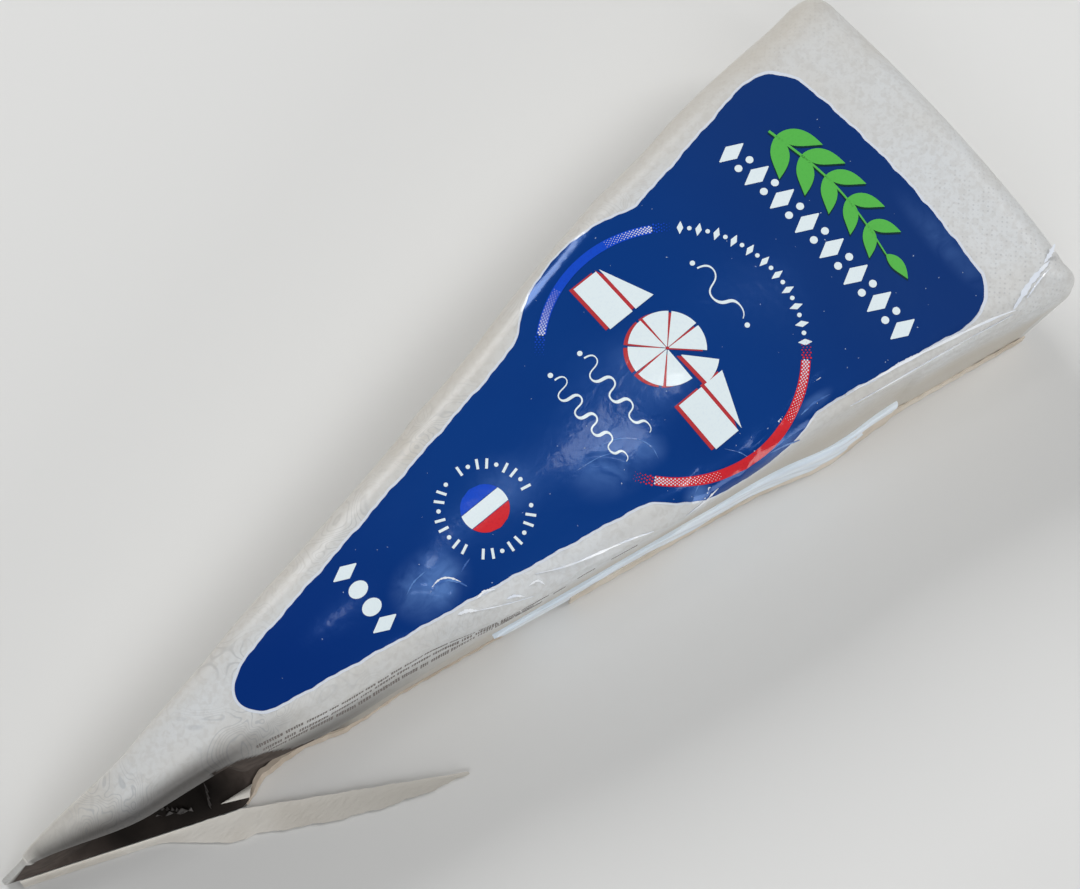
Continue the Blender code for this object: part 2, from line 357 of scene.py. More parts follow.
    def lay(self, u: Array, w: Array) -> Array:
        """Lays flat places of the sheet on the top face, both shoulders and both sides.

        On the top face the place is (u, w) itself. Past a rim the sheet goes round a quarter
        circle of the shoulder's radius and then straight down the side.

        Args:
            u: Flat places along the slice.
            w: Flat places across it.

        Returns:
            Points, with x, y and z in the last axis.
        """
        near, far = self.near_edge(u), self.far_edge(u)
        y = np.clip(w, near, far)
        z = self.top_height(u, y)
        sides = (
            (near - w, self.near_shoulder(u), -1.0),
            (w - far, self.far_shoulder(u), 1.0),
        )
        for past, radius, way in sides:
            past = np.maximum(past, 0.0)
            turn = np.minimum(past / radius, RIGHT_ANGLE)
            y = y + way * radius * np.sin(turn)
            z = z - radius * (1.0 - np.cos(turn))
            drop = np.maximum(past - radius * RIGHT_ANGLE, 0.0)
            height = self.crest_height(u) - radius - self.bottom_edge
            down = np.clip(drop / height, 0.0, 1.0)
            z = z - down * height
            if way < 0.0:
                y = np.where(drop > 0.0, self.near_wall_y(u, down), y)
        return join(u, y, z)

    def near_flat(self, x: Array, z: Array) -> Array:
        """Flat coordinate w of a place on the near side, from its height."""
        radius = self.near_shoulder(x)
        return self.near_edge(x) - radius * RIGHT_ANGLE - (self.crest_height(x) - radius - z)


@dataclass(frozen=True)
class Crease:
    """One fold or swell of the film, along a bowed line in flat coordinates."""

    start: Span
    end: Span
    height: float
    reach: float
    fold: Fold = Fold.ROOF
    bow: float = 0.0

    def relief(self, u: Array, w: Array) -> Array:
        """Height of the fold at flat places.

        The distance to the bowed line gives the cross-section, and the square root of
        4 s (1 - s), for the share s along the line, lets it rise and die away at its ends.

        Args:
            u: Flat places along the slice.
            w: Flat places across it.

        Returns:
            The height at each place.
        """
        run = np.subtract(self.end, self.start)
        length = float(np.hypot(*run))
        along = (u - self.start[0]) * run[0] + (w - self.start[1]) * run[1]
        share = np.clip(along / length**2, 0.0, 1.0)
        aside = (w - self.start[1]) * run[0] - (u - self.start[0]) * run[1]
        aside = aside / length - self.bow * 4.0 * share * (1.0 - share)
        past = (along / length**2 - share) * length
        distance = np.hypot(aside, past) / self.reach
        if self.fold is Fold.ROOF:
            profile = np.maximum(0.0, 1.0 - distance)
        else:
            profile = np.exp(-(distance**2))
        return self.height * profile * np.sqrt(4.0 * share * (1.0 - share))


@dataclass(frozen=True)
class Dent:
    """A round swell (or, with a negative height, a hollow) in flat coordinates."""

    centre: Span
    reach: Span
    height: float

    def relief(self, u: Array, w: Array) -> Array:
        """Height of the swell: a bell curve in both directions.

        Args:
            u: Flat places along the slice.
            w: Flat places across it.

        Returns:
            The height at each place.
        """
        return self.height * hump(self.centre[0], self.reach[0], u) * hump(
            self.centre[1], self.reach[1], w
        )


FILM_FOLDS = (
    Crease((174.6, -31.2), (187.4, -28.2), 0.42, 1.5),
    Crease((175.5, -31.2), (144.5, -23.6), 0.36, 0.95, bow=0.35),
    Crease((173.5, -33.0), (146.0, -27.0), 0.26, 0.7, bow=-0.2),
    Crease((182.0, -34.5), (160.0, -30.2), 0.2, 1.1),
    Crease((81.0, -14.0), (92.0, -17.6), 0.3, 0.8, bow=0.4),
    Crease((90.5, -16.6), (112.0, -22.0), 0.34, 0.75, bow=-0.5),
    Crease((72.0, -13.6), (98.0, -21.4), 0.26, 0.9, bow=0.3),
    Crease((133.5, -22.8), (146.5, -19.6), 0.2, 0.6, bow=0.9),
    Crease((134.0, -20.6), (141.5, -19.0), 0.16, 0.5, bow=-0.6),
    Crease((115.6, -23.2), (121.4, -18.8), 0.2, 0.55, bow=0.6),
    Crease((118.4, -24.0), (121.0, -20.6), 0.2, 0.4),
    Crease((124.5, -24.4), (133.6, -21.2), 0.22, 0.6, bow=0.8),
    Crease((109.0, -6.4), (114.0, -14.0), 0.12, 0.8, bow=1.2),
    Crease((74.0, -3.6), (80.6, -11.2), 0.14, 0.9, bow=1.4),
    Crease((76.0, -9.8), (83.6, -7.8), 0.13, 0.7, bow=-0.9),
    Crease((70.4, -7.6), (77.0, -5.2), 0.1, 0.8, bow=0.7),
    Crease((58.0, 9.0), (84.0, 13.6), 0.2, 1.2, Fold.SOFT),
    Crease((92.0, 16.4), (110.0, 19.0), 0.18, 1.0, Fold.SOFT),
    Crease((14.0, 3.4), (46.0, 8.6), 0.16, 1.3, Fold.SOFT),
    Crease((22.0, -1.4), (50.0, -8.8), 0.14, 1.2, Fold.SOFT),
    Crease((40.0, -10.5), (66.0, -15.5), 0.24, 1.1, Fold.SOFT),
    Crease((150.0, 27.0), (178.0, 33.0), 0.2, 1.4, Fold.SOFT),
    Crease((176.0, 22.0), (187.0, 29.0), 0.16, 1.1),
)

FILM_SWELLS = (
    Dent((79.0, -5.5), (5.0, 5.0), 0.42),
    Dent((73.5, -7.5), (3.0, 3.6), -0.12),
    Dent((114.0, -12.0), (5.5, 5.0), 0.3),
    Dent((118.5, -22.5), (3.5, 2.4), 0.34),
    Dent((132.0, -22.5), (5.0, 2.2), 0.34),
    Dent((128.0, -8.0), (9.0, 6.0), 0.2),
    Dent((175.5, -19.0), (2.6, 9.0), 0.22),
    Dent((176.5, 4.0), (3.2, 7.0), -0.16),
    Dent((104.0, 10.0), (10.0, 5.0), -0.16),
    Dent((150.0, 12.0), (9.0, 9.0), 0.18),
    Dent((56.0, 0.0), (8.0, 4.0), 0.12),
    Dent((30.0, 1.0), (9.0, 3.5), -0.22),
)


@dataclass(frozen=True)
class Relief:
    """Small unevenness of the sheet: slow waves, swells, and creases in the clear film."""

    wave_count: int = 14
    wave_lengths: Span = (11.0, 42.0)
    wave_slope: float = 0.0085
    small_folds: int = 46
    fold_x: Span = (44.0, 176.0)
    fold_length: Span = (6.0, 20.0)
    near_reach: Span = (0.5, 24.0)
    far_reach: Span = (4.0, 26.0)
    near_turn: float = 0.05
    far_turn: float = 0.12
    fold_height: Span = (0.05, 0.17)
    fold_width: Span = (0.4, 0.9)
    fold_bow: float = 0.4
    seed: int = 5

    def waves(self, u: Array, w: Array) -> Array:
        """Sums slow sine waves in random directions, each as high as its length allows.

        Args:
            u: Flat places along the slice.
            w: Flat places across it.

        Returns:
            The height at each place.
        """
        pick = np.random.default_rng(self.seed)
        total = np.zeros(np.broadcast(u, w).shape)
        for _ in range(self.wave_count):
            length = pick.uniform(*self.wave_lengths)
            heading, phase = pick.uniform(0.0, 2.0 * math.pi, 2)
            place = (u * math.cos(heading) + w * math.sin(heading)) / length
            size = self.wave_slope * length / (2.0 * math.pi)
            total += size * np.sin(2.0 * math.pi * place + phase)
        return total

    def side_folds(self, shape: SliceShape) -> list[Crease]:
        """Picks short fine folds along the near shoulder, the near side and the far side.

        Args:
            shape: The smooth form.

        Returns:
            The folds.
        """
        pick = np.random.default_rng(self.seed + 1)
        folds = []
        for number in range(self.small_folds):
            x = pick.uniform(*self.fold_x)
            length = pick.uniform(*self.fold_length)
            if number % 3:
                w = float(shape.near_edge(np.array(x))) - pick.uniform(*self.near_reach)
                lean = -shape.side_slope + pick.normal(0.0, self.near_turn)
            else:
                w = float(shape.far_edge(np.array(x))) + pick.uniform(*self.far_reach)
                lean = shape.side_slope + pick.normal(0.0, self.far_turn)
            start = (x - length / 2.0, w - lean * length / 2.0)
            end = (x + length / 2.0, w + lean * length / 2.0)
            height = pick.uniform(*self.fold_height)
            width = pick.uniform(*self.fold_width)
            folds.append(Crease(start, end, height, width, bow=pick.normal(0, self.fold_bow)))
        return folds

    def height(self, shape: SliceShape, u: Array, w: Array) -> Array:
        """Height of the sheet over the smooth form at flat places.

        Args:
            shape: The smooth form.
            u: Flat places along the slice.
            w: Flat places across it.

        Returns:
            Waves, swells and creases added up, in millimetres.
        """
        total = self.waves(u, w)
        for feature in (*FILM_FOLDS, *FILM_SWELLS, *self.side_folds(shape)):
            total += feature.relief(u, w)
        return total


@dataclass(frozen=True)
class Place:
    """Turns sheet millimetres into the row frame's metres, measured on two CAD nodes."""

    strip_start_x: float = 84.0
    flap_start_x: float = 2.6
    flap_gap: float = 0.4

    def shift(self, shape: SliceShape) -> Array:
        """Row place of the apex: from the strip's start along x and the flap's edge across.

        Args:
            shape: The smooth form.

        Returns:
            The apex, in millimetres of the row frame.
        """
        strip_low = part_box("closing_strip")[0]
        flap_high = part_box("loose_flap")[1]
        edge = float(shape.stem_y(np.array(self.flap_start_x))) - self.flap_gap
        return np.array([strip_low.x / MM - self.strip_start_x, flap_high.y / MM - edge, 0.0])


@dataclass
class Facets:
    """Points and faces of one mesh, with a bake map and flat places at the face corners."""

    points: list[Array] = field(default_factory=list)
    quads: list[Array] = field(default_factory=list)
    maps: dict[str, list[Array]] = field(default_factory=dict)
    count: int = 0

    def add_points(self, points: Array) -> Array:
        """Adds points and returns the numbers they get, in the same layout.

        Args:
            points: Points with x, y and z in the last axis.

        Returns:
            The numbers of the points.
        """
        flat = points.reshape(-1, 3)
        numbers = np.arange(self.count, self.count + len(flat)).reshape(points.shape[:-1])
        self.points.append(flat)
        self.count += len(flat)
        return numbers

    def add_grid(self, numbers: Array, flip: bool = False, **places: Array) -> None:
        """Adds the cells between the points of a grid as four-cornered faces.

        Args:
            numbers: Point numbers as [row, column].
            flip: Whether the faces look the other way.
            places: For each map, its coordinates as [row, column, 2].
        """
        order = [(0, 0), (1, 0), (1, 1), (0, 1)]
        if flip:
            order.reverse()
        rows, columns = numbers.shape

        def corners(values: Array) -> Array:
            """Values at the four corners of each cell."""
            cuts = [values[r : rows - 1 + r, c : columns - 1 + c] for r, c in order]
            return np.stack(cuts, axis=2).reshape((rows - 1) * (columns - 1), 4, -1)

        self.quads.append(corners(numbers[..., None])[..., 0])
        for name, values in places.items():
            self.maps.setdefault(name, []).append(corners(values))

    def build(self, name: str, shift: Array, sharp_degrees: float = 50.0) -> bpy.types.Object:
        """Makes the object. A face whose corners meet loses the doubled corner.

        Args:
            name: Name of the object.
            shift: Row place of the apex, in millimetres.
            sharp_degrees: Edges bent more than this are shaded sharp.

        Returns:
            The object, at the origin, linked to the scene.
        """
        points = (np.concatenate(self.points) + shift) * MM
        quads = np.concatenate(self.quads)
        keep = quads != np.roll(quads, 1, axis=1)
        whole = keep.sum(axis=1) > 2
        quads, keep = quads[whole], keep[whole]
        sizes = keep.sum(axis=1)
        mesh = bpy.data.meshes.new(name)
        mesh.vertices.add(len(points))
        mesh.vertices.foreach_set("co", points.astype(np.float32).ravel())
        mesh.loops.add(int(sizes.sum()))
        mesh.loops.foreach_set("vertex_index", quads[keep].astype(np.int32))
        mesh.polygons.add(len(sizes))
        starts = np.concatenate([[0], np.cumsum(sizes)[:-1]]).astype(np.int32)
        mesh.polygons.foreach_set("loop_start", starts)
        for map_name, values in self.maps.items():
            layer = mesh.uv_layers.new(name=map_name)
            places = np.concatenate(values)[whole][keep]
            layer.data.foreach_set("uv", places.astype(np.float32).ravel())
        mesh.update(calc_edges=True)
        mesh.validate()
        mesh.shade_smooth()
        mesh.set_sharp_from_angle(angle=math.radians(sharp_degrees))
        piece = bpy.data.objects.new(name, mesh)
        bpy.context.scene.collection.objects.link(piece)
        return piece


def mark_points(piece: bpy.types.Object, name: str, values: Array) -> None:
    """Stores one number for each point of a mesh, for its material to read."""
    layer = piece.data.attributes.new(name, "FLOAT", "POINT")
    layer.data.foreach_set("value", values.astype(np.float32).ravel())


def add_shell(facets: Facets, front: Array, back: Array, flat: Array) -> None:
    """Adds a thin closed sheet: a front, a back and a narrow rim all round.

    Args:
        facets: The mesh that gets the faces.
        front: Points of the outer face as [row, column, 3], rows and columns turning left.
        back: Points of the inner face in the same layout.
        flat: Flat places of both, as [row, column, 2].
    """
    places = flat / SHEET_UNIT
    outer, inner = facets.add_points(front), facets.add_points(back)
    facets.add_grid(outer, **{SHEET_MAP: places})
    facets.add_grid(inner, flip=True, **{SHEET_MAP: places})
    top, left = slice(None), slice(None)
    for rows, columns, flip in ((0, top, True), (-1, top, False), (left, 0, False), (left, -1, True)):
        edge = np.stack([outer[rows, columns], inner[rows, columns]])
        kept = np.stack([places[rows, columns]] * 2)
        facets.add_grid(edge, flip=flip, **{SHEET_MAP: kept})


@dataclass(frozen=True)
class Drape:
    """Lays thin layers, such as ink and film, on the uneven sheet."""

    shape: SliceShape
    relief: Relief
    shift: Array
    probe: float = 0.04

    def surface(self, u: Array, w: Array, offset: Array | float) -> Array:
        """Points over flat places, an offset above the uneven sheet along its normal.

        Args:
            u: Flat places along the slice.
            w: Flat places across it.
            offset: Height above the sheet.

        Returns:
            The points.
        """
        span_u = self.shape.lay(u + self.probe, w) - self.shape.lay(u - self.probe, w)
        span_w = self.shape.lay(u, w + self.probe) - self.shape.lay(u, w - self.probe)
        normal = np.cross(span_u, span_w)
        normal /= np.linalg.norm(normal, axis=-1, keepdims=True)
        height = self.relief.height(self.shape, u, w) + offset
        return self.shape.lay(u, w) + normal * height[..., None]

    def shells(
        self, name: str, sheets: list[tuple[Array, Array, Array]],
        material: bpy.types.Material, sharp_degrees: float = 50.0,
    ) -> bpy.types.Object:
        """Makes one piece out of thin closed sheets.

        Args:
            name: Name of the piece.
            sheets: Outer face, inner face and flat places of each sheet.
            material: Finish of the piece.
            sharp_degrees: Edges bent more than this are shaded sharp.

        Returns:
            The joined piece.
        """
        facets = Facets()
        for front, back, flat in sheets:
            add_shell(facets, front, back, flat)
        piece = facets.build(name, self.shift, sharp_degrees)
        piece.data.materials.append(material)
        return piece

    def layer(
        self, name: str, grids: list[Array], low: float, high: float, material: bpy.types.Material
    ) -> bpy.types.Object:
        """Makes one piece out of thin closed layers that follow the sheet.

        Args:
            name: Name of the piece.
            grids: Flat places of each layer as [row, column, 2], turning left.
            low: Offset of the layers' undersides above the sheet.
            high: Offset of their outer faces.
            material: Finish of the piece.

        Returns:
            The joined piece.
        """
        sheets = []
        for grid in grids:
            u, w = grid[..., 0], grid[..., 1]
            sheets.append((self.surface(u, w, high), self.surface(u, w, low), grid))
        return self.shells(name, sheets, material)


def turned(grid: Array, centre: Span, angle: float = 0.0) -> Array:
    """Turns a grid of places about the origin, by radians, and moves it to its centre."""
    cos, sin = math.cos(angle), math.sin(angle)
    return grid @ np.array([[cos, sin], [-sin, cos]]) + np.array(centre)


def disc(radius: float, cells: int = 4, stretch: float = 1.0) -> Array:
    """Round patch: a square grid (a, b) mapped by a * sqrt(1 - b squared / 2), and so for b.

    Args:
        radius: Its radius.
        cells: Cells along each side of the grid.
        stretch: How much longer it is along u.

    Returns:
        Its flat places.
    """
    a, b = np.meshgrid(np.linspace(-1, 1, cells + 1), np.linspace(-1, 1, cells + 1), indexing="ij")
    x, y = a * np.sqrt(1.0 - b * b / 2.0), b * np.sqrt(1.0 - a * a / 2.0)
    return np.stack([x * radius * stretch, y * radius], axis=2)


def ribbon(path: Array, width: Array, cells: int = 2) -> Array:
    """Patch along a line: across each point it reaches half its width to both sides.

    Args:
        path: Places along the line.
        width: Full width at each place.
        cells: Cells across it.

    Returns:
        Its flat places.
    """
    run = np.gradient(path, axis=0)
    run /= np.linalg.norm(run, axis=1, keepdims=True)
    side = np.stack([-run[:, 1], run[:, 0]], axis=1)
    across = np.linspace(-0.5, 0.5, cells + 1)
    reach = width[:, None, None] * across[None, :, None]
    return path[:, None, :] + side[:, None, :] * reach


def straight(start: Span, end: Span, steps: int) -> Array:
    """Equally spaced places along a straight line."""
    return np.linspace(start, end, steps + 1)


def lozenge(height: float, width: float) -> Array:
    """Upright lozenge with slightly blunt ends.

    Args:
        height: Its height.
        width: Its full width.

    Returns:
        Its flat places.
    """
    path = straight((-height / 2.0, 0.0), (height / 2.0, 0.0), 8)
    share = np.abs(np.linspace(-1.0, 1.0, 9))
    return ribbon(path, width * (1.06 - share), 2)


def leaf(length: float, width: float, steps: int = 14) -> Array:
    """Pointed leaf whose width follows a sine, fuller towards its foot.

    Args:
        length: Its length.
        width: Its full width.
        steps: Cells along it.

    Returns:
        Its flat places.
    """
    share = np.linspace(0.0, 1.0, steps + 1)
    path = np.stack([share * length, 0.06 * length * np.sin(math.pi * share)], axis=1)
    return ribbon(path, width * np.sin(math.pi * share**0.8) + 0.05, 4)


def arc(radius: float, start: float, end: float, steps: int) -> Array:
    """Places along part of a circle round the origin, from one angle to another."""
    turn = np.linspace(start, end, steps + 1)
    return np.stack([radius * np.cos(turn), radius * np.sin(turn)], axis=1)


def between(low: Array, high: Array, cells: int) -> Array:
    """Patch between two lines of places that start on the same side."""
    share = np.linspace(0.0, 1.0, cells + 1)[None, :, None]
    return low[:, None, :] + (high - low)[:, None, :] * share


@dataclass(frozen=True)
class Tone:
    """A colour as it looks on a screen, 0 to 255 for red, green and blue."""

    red: float
    green: float
    blue: float

    def linear(self) -> tuple[float, float, float, float]:
        """The colour as light amounts, by the display curve (c + 0.055) / 1.055 to the 2.4.

        Returns:
            Red, green, blue and full opacity.
        """
        shares = (self.red / 255.0, self.green / 255.0, self.blue / 255.0)
        light = [c / 12.92 if c <= 0.04045 else ((c + 0.055) / 1.055) ** 2.4 for c in shares]
        return (light[0], light[1], light[2], 1.0)


class Recipe:
    """Short hand for putting a material's nodes together."""

    def __init__(
        self, name: str, tone: Tone, roughness: float, coat: float, coat_rough: float,
        shine: float = 0.5,
    ):
        """Starts a material with one surface shader.

        Args:
            name: Name of the material.
            tone: Colour where nothing else is linked.
            roughness: Roughness of the sheet under its film.
            coat: Strength of the clear film, 0 to 1.
            coat_rough: Roughness of the clear film.
            shine: Mirror share of the sheet itself, 0.5 for plain paper or plastic.
        """
        self.material = bpy.data.materials.new(name)
        self.material.use_nodes = True
        self.tree = self.material.node_tree
        self.shader = self.tree.nodes["Principled BSDF"]
        self.shader.inputs["Base Color"].default_value = tone.linear()
        self.shader.inputs["Roughness"].default_value = roughness
        self.shader.inputs["Coat Weight"].default_value = coat
        self.shader.inputs["Coat Roughness"].default_value = coat_rough
        self.shader.inputs["Specular IOR Level"].default_value = shine

    def node(self, kind: str, **inputs: object) -> bpy.types.Node:
        """Adds a node; values fill its inputs by name, and sockets are linked to them.

        Args:
            kind: Kind of node.
            inputs: Values or sockets for its inputs.

        Returns:
            The node.
        """
        node = self.tree.nodes.new(kind)
        for name, value in inputs.items():
            self.plug(node.inputs[name.replace("_", " ")], value)
        return node

    def plug(self, socket: bpy.types.NodeSocket, value: object) -> None:
        """Links a socket to another, or sets its value.

        Args:
            socket: The input.
            value: A socket or a plain value.
        """
        if isinstance(value, bpy.types.NodeSocket):
            self.tree.links.new(value, socket)
        else:
            socket.default_value = value

    def maths(self, operation: str, first: object, second: object = 0.0) -> object:
        """One step of arithmetic on two values.

        Args:
            operation: Name of the operation.
            first: First value.
            second: Second value.

        Returns:
            The socket with the result.
        """
        node = self.tree.nodes.new("ShaderNodeMath")
        node.operation = operation
        self.plug(node.inputs[0], first)
        self.plug(node.inputs[1], second)
        return node.outputs[0]

    def times(self, first: object, second: object) -> object:
        """Product of two values."""
        return self.maths("MULTIPLY", first, second)

    def axis(self, place: object, name: str) -> object:
        """One coordinate of a place."""
        return self.node("ShaderNodeSeparateXYZ", Vector=place).outputs[name]

    def scaled(self, place: object, scale: Spot) -> object:
        """A place stretched by its own factor along each axis.

        Args:
            place: The place.
            scale: Factor along x, y and z.

        Returns:
            The socket with the result.
        """
        node = self.node("ShaderNodeMapping", Vector=place)
        node.inputs["Scale"].default_value = scale
        return node.outputs["Vector"]

    def spread(self, value: object, low: float, high: float, top: float = 1.0) -> object:
        """Turns a value between low and high into one between 0 and top, smoothly.

        Args:
            value: The value.
            low: Value that becomes 0.
            high: Value that becomes the top.
            top: The largest result.

        Returns:
            The socket with the result.
        """
        node = self.tree.nodes.new("ShaderNodeMapRange")
        node.interpolation_type = "SMOOTHSTEP"
        self.plug(node.inputs["Value"], value)
        for name, number in (("From Min", low), ("From Max", high), ("To Max", top)):
            node.inputs[name].default_value = number
        return node.outputs["Result"]

    def blend(self, share: object, first: object, second: object) -> object:
        """Mixes two colours by a share.

        Args:
            share: Share of the second colour.
            first: First colour.
            second: Second colour.

        Returns:
            The socket with the result.
        """
        node = self.tree.nodes.new("ShaderNodeMix")
        node.data_type = "RGBA"
        self.plug(node.inputs[0], share)
        for socket, colour in ((node.inputs[6], first), (node.inputs[7], second)):
            self.plug(socket, colour.linear() if isinstance(colour, Tone) else colour)
        return node.outputs[2]

    def body_place(self) -> object:
        """Place on the object, in metres."""
        return self.tree.nodes.new("ShaderNodeTexCoord").outputs["Object"]

    def sheet_place(self) -> object:
        """Place on the flat sheet, in units of a hundred millimetres.

        Returns:
            The socket with the place.
        """
        node = self.tree.nodes.new("ShaderNodeUVMap")
        node.uv_map = SHEET_MAP
        return node.outputs["UV"]

    def mark(self, name: str) -> object:
        """Number stored at the mesh's points.

        Args:
            name: Name of the stored number.

        Returns:
            The socket with the number.
        """
        node = self.tree.nodes.new("ShaderNodeAttribute")
        node.attribute_name = name
        return node.outputs["Fac"]

    def noise(self, place: object, scale: float, detail: float = 3.0, warp: float = 0.0) -> object:
        """Soft random pattern from 0 to 1.

        Args:
            place: Place that the pattern reads.
            scale: How fine the pattern is.
            detail: How many finer layers are added.
            warp: How much it is distorted.

        Returns:
            The socket with the result.
        """
        node = self.node("ShaderNodeTexNoise", Vector=place, Scale=scale, Detail=detail)
        node.inputs["Distortion"].default_value = warp
        return node.outputs["Fac"]

    def bump(self, height: object, strength: float, depth: float, under: object = None) -> object:
        """Small relief from a height pattern, over another one if given.

        Args:
            height: The pattern.
            strength: Share of the relief that shows.
            depth: Its depth in metres.
            under: A normal to build on.

        Returns:
            The socket with the bent normal.
        """
        node = self.node("ShaderNodeBump", Height=height, Strength=strength, Distance=depth)
        if under is not None:
            self.plug(node.inputs["Normal"], under)
        return node.outputs["Normal"]

    def finish(self, **inputs: object) -> bpy.types.Material:
        """Links the last sockets to the shader and hands over the material.

        Args:
            inputs: Values or sockets for the shader's inputs.

        Returns:
            The material.
        """
        for name, value in inputs.items():
            self.plug(self.shader.inputs[name.replace("_", " ")], value)
        return self.material


@dataclass(frozen=True)
class WrapPaper:
    """Off-white paper under clear film, with a faint line pattern and embossed dots."""

    cool: Tone = Tone(212, 215, 217)
    warm: Tone = Tone(205, 203, 198)
    fibre: Tone = Tone(182, 179, 174)
    # Beige: painted shade on the near side and the far shoulder by its mark, and also random smudges.
    beige: Tone = Tone(188, 180, 166)
    line: Tone = Tone(168, 172, 176)
    dot: Tone = Tone(164, 166, 170)
    # Dark tone that paints shade at the nose, in the pocket and low on the near side.
    painted_shade: Tone = Tone(42, 37, 34)
    line_turns: float = 30.0
    line_scale: float = 9.0
    dot_pitch: float = 0.0054

    def build(self) -> bpy.types.Material:
        """Mixes cool and warm paper, then lines, dots, beige (painted shade on the sides, and random
        smudges) and dark painted shade over it.

        Returns:
            The material.
        """
        recipe = Recipe("wrap_paper_film", self.cool, 0.5, 0.2, 0.28, 0.3)
        place, sheet = recipe.body_place(), recipe.sheet_place()
        cloudy = recipe.noise(place, 32.0, 4.0)
        colour = recipe.blend(recipe.spread(cloudy, 0.36, 0.68), self.cool, self.warm)
        fibres = recipe.spread(recipe.noise(place, 1000.0, 5.0, 0.6), 0.4, 0.66, 0.3)
        colour = recipe.blend(fibres, colour, self.fibre)
        field_value = recipe.noise(sheet, self.line_scale, 2.0, 0.6)
        turns = recipe.times(field_value, self.line_turns)
        wave = recipe.maths("PINGPONG", turns, 0.5)
        thin = recipe.spread(wave, 0.3, 0.48)
        patch = recipe.spread(recipe.noise(sheet, 7.0, 1.0), 0.4, 0.6)
        lines = recipe.times(thin, recipe.times(patch, recipe.mark("lines")))
        colour = recipe.blend(recipe.times(lines, 0.56), colour, self.line)
        blotch = recipe.spread(recipe.noise(sheet, 60.0, 2.0), 0.35, 0.7)
        dots = recipe.times(self.dots(recipe, sheet), blotch)
        colour = recipe.blend(recipe.times(dots, 0.5), colour, self.dot)
        # Painted shade: beige on the near side and the far shoulder, by its mark.
        colour = recipe.blend(recipe.mark("beige"), colour, self.beige)
        smudge = recipe.spread(recipe.noise(place, 70.0, 5.0), 0.55, 0.8, 0.25)
        colour = recipe.blend(smudge, colour, self.beige)
        # Painted shade: the paper darkens towards the dark tone by the mark of painted shade.
        colour = recipe.blend(recipe.mark("painted_shade"), colour, self.painted_shade)
        crinkle = recipe.noise(place, 210.0, 5.0, 0.4)
        grain = recipe.noise(place, 1500.0, 2.0)
        normal = recipe.bump(grain, 0.12, 0.0002)
        normal = recipe.bump(crinkle, 0.12, 0.0007, normal)
        rough = recipe.maths("MULTIPLY_ADD", cloudy, 0.16)
        rough.node.inputs[2].default_value = 0.38
        return recipe.finish(Base_Color=colour, Roughness=rough, Normal=normal, Coat_Normal=normal)

    def dots(self, recipe: Recipe, sheet: object) -> object:
        """Staggered dots: the product of two sine waves, cut to its tops, where marked.

        Args:
            recipe: The material being put together.
            sheet: Place on the flat sheet.

        Returns:
            The socket with 1 on the dots and 0 between them.
        """
        parts = recipe.node("ShaderNodeSeparateXYZ", Vector=sheet)
        waves = []
        for axis in ("X", "Y"):
            turn = recipe.times(parts.outputs[axis], math.pi / self.dot_pitch)
            waves.append(recipe.maths("SINE", turn))
        tops = recipe.spread(recipe.times(*waves), 0.45, 0.85)
        return recipe.times(tops, recipe.mark("dots"))


@dataclass(frozen=True)
class FieldInk:
    """Dark blue printing ink under glossy film, deeper in tone towards the nose."""

    nose: Tone = Tone(4, 45, 118)
    middle: Tone = Tone(8, 56, 128)
    rind: Tone = Tone(20, 53, 115)
    cloud: Tone = Tone(8, 48, 118)
    glow: Tone = Tone(118, 172, 250)
    # Pale blue painted highlights, laid as soft patches on the blue at the spots below.
    painted_highlight: Tone = Tone(104, 146, 212)
    painted_highlight_spots: tuple[tuple[float, float, float, float, float], ...] = (
        (0.79, -0.062, 0.075, 0.06, 0.72),
        (0.812, -0.07, 0.036, 0.032, 0.72),
        (1.12, -0.085, 0.09, 0.075, 0.42),
        (1.17, -0.115, 0.04, 0.035, 0.3),
        (0.97, -0.02, 0.06, 0.07, 0.14),
        (1.33, -0.235, 0.07, 0.02, 0.4),
        (1.41, -0.22, 0.045, 0.015, 0.4),
        (1.185, -0.212, 0.03, 0.022, 0.5),
        (1.735, -0.16, 0.03, 0.13, 0.2),
        (1.24, -0.02, 0.05, 0.09, 0.14),
    )
    nose_u: Span = (0.55, 0.95)
    rind_u: Span = (1.3, 1.7)

    def build(self) -> bpy.types.Material:
        """Runs three blues along the slice, and paints pale blue highlights in soft patches at the
        listed spots.

        Returns:
            The material.
        """
        recipe = Recipe("field_blue_ink", self.middle, 0.2, 0.25, 0.08, 0.62)
        recipe.shader.inputs["Specular Tint"].default_value = self.glow.linear()
        sheet, place = recipe.sheet_place(), recipe.body_place()
        along = recipe.axis(sheet, "X")
        colour = recipe.blend(recipe.spread(along, *self.nose_u), self.nose, self.middle)
        colour = recipe.blend(recipe.spread(along, *self.rind_u), colour, self.rind)
        cloudy = recipe.spread(recipe.noise(place, 60.0, 3.0), 0.4, 0.75, 0.3)
        colour = recipe.blend(cloudy, colour, self.cloud)
        streaks = recipe.spread(recipe.noise(sheet, 22.0, 3.0, 1.2), 0.08, 0.76)
        # Painted highlights: the blue turns pale in soft patches round each spot.
        for centre_u, centre_w, reach_u, reach_w, strength in self.painted_highlight_spots:
            near = recipe.node("ShaderNodeMapping", Vector=sheet)
            near.inputs["Location"].default_value = (-centre_u / reach_u, -centre_w / reach_w, 0.0)
            near.inputs["Scale"].default_value = (1.0 / reach_u, 1.0 / reach_w, 1.0)
            away = recipe.tree.nodes.new("ShaderNodeVectorMath")
            away.operation = "LENGTH"
            recipe.plug(away.inputs[0], near.outputs["Vector"])
            lost = recipe.spread(away.outputs["Value"], 0.1, 1.0, strength)
            share = recipe.maths("SUBTRACT", strength, lost)
            colour = recipe.blend(recipe.times(share, streaks), colour, self.painted_highlight)
        peel = recipe.noise(place, 420.0, 3.0, 0.3)
        normal = recipe.bump(peel, 0.1, 0.0004)
        return recipe.finish(Base_Color=colour, Coat_Normal=normal, Normal=normal)


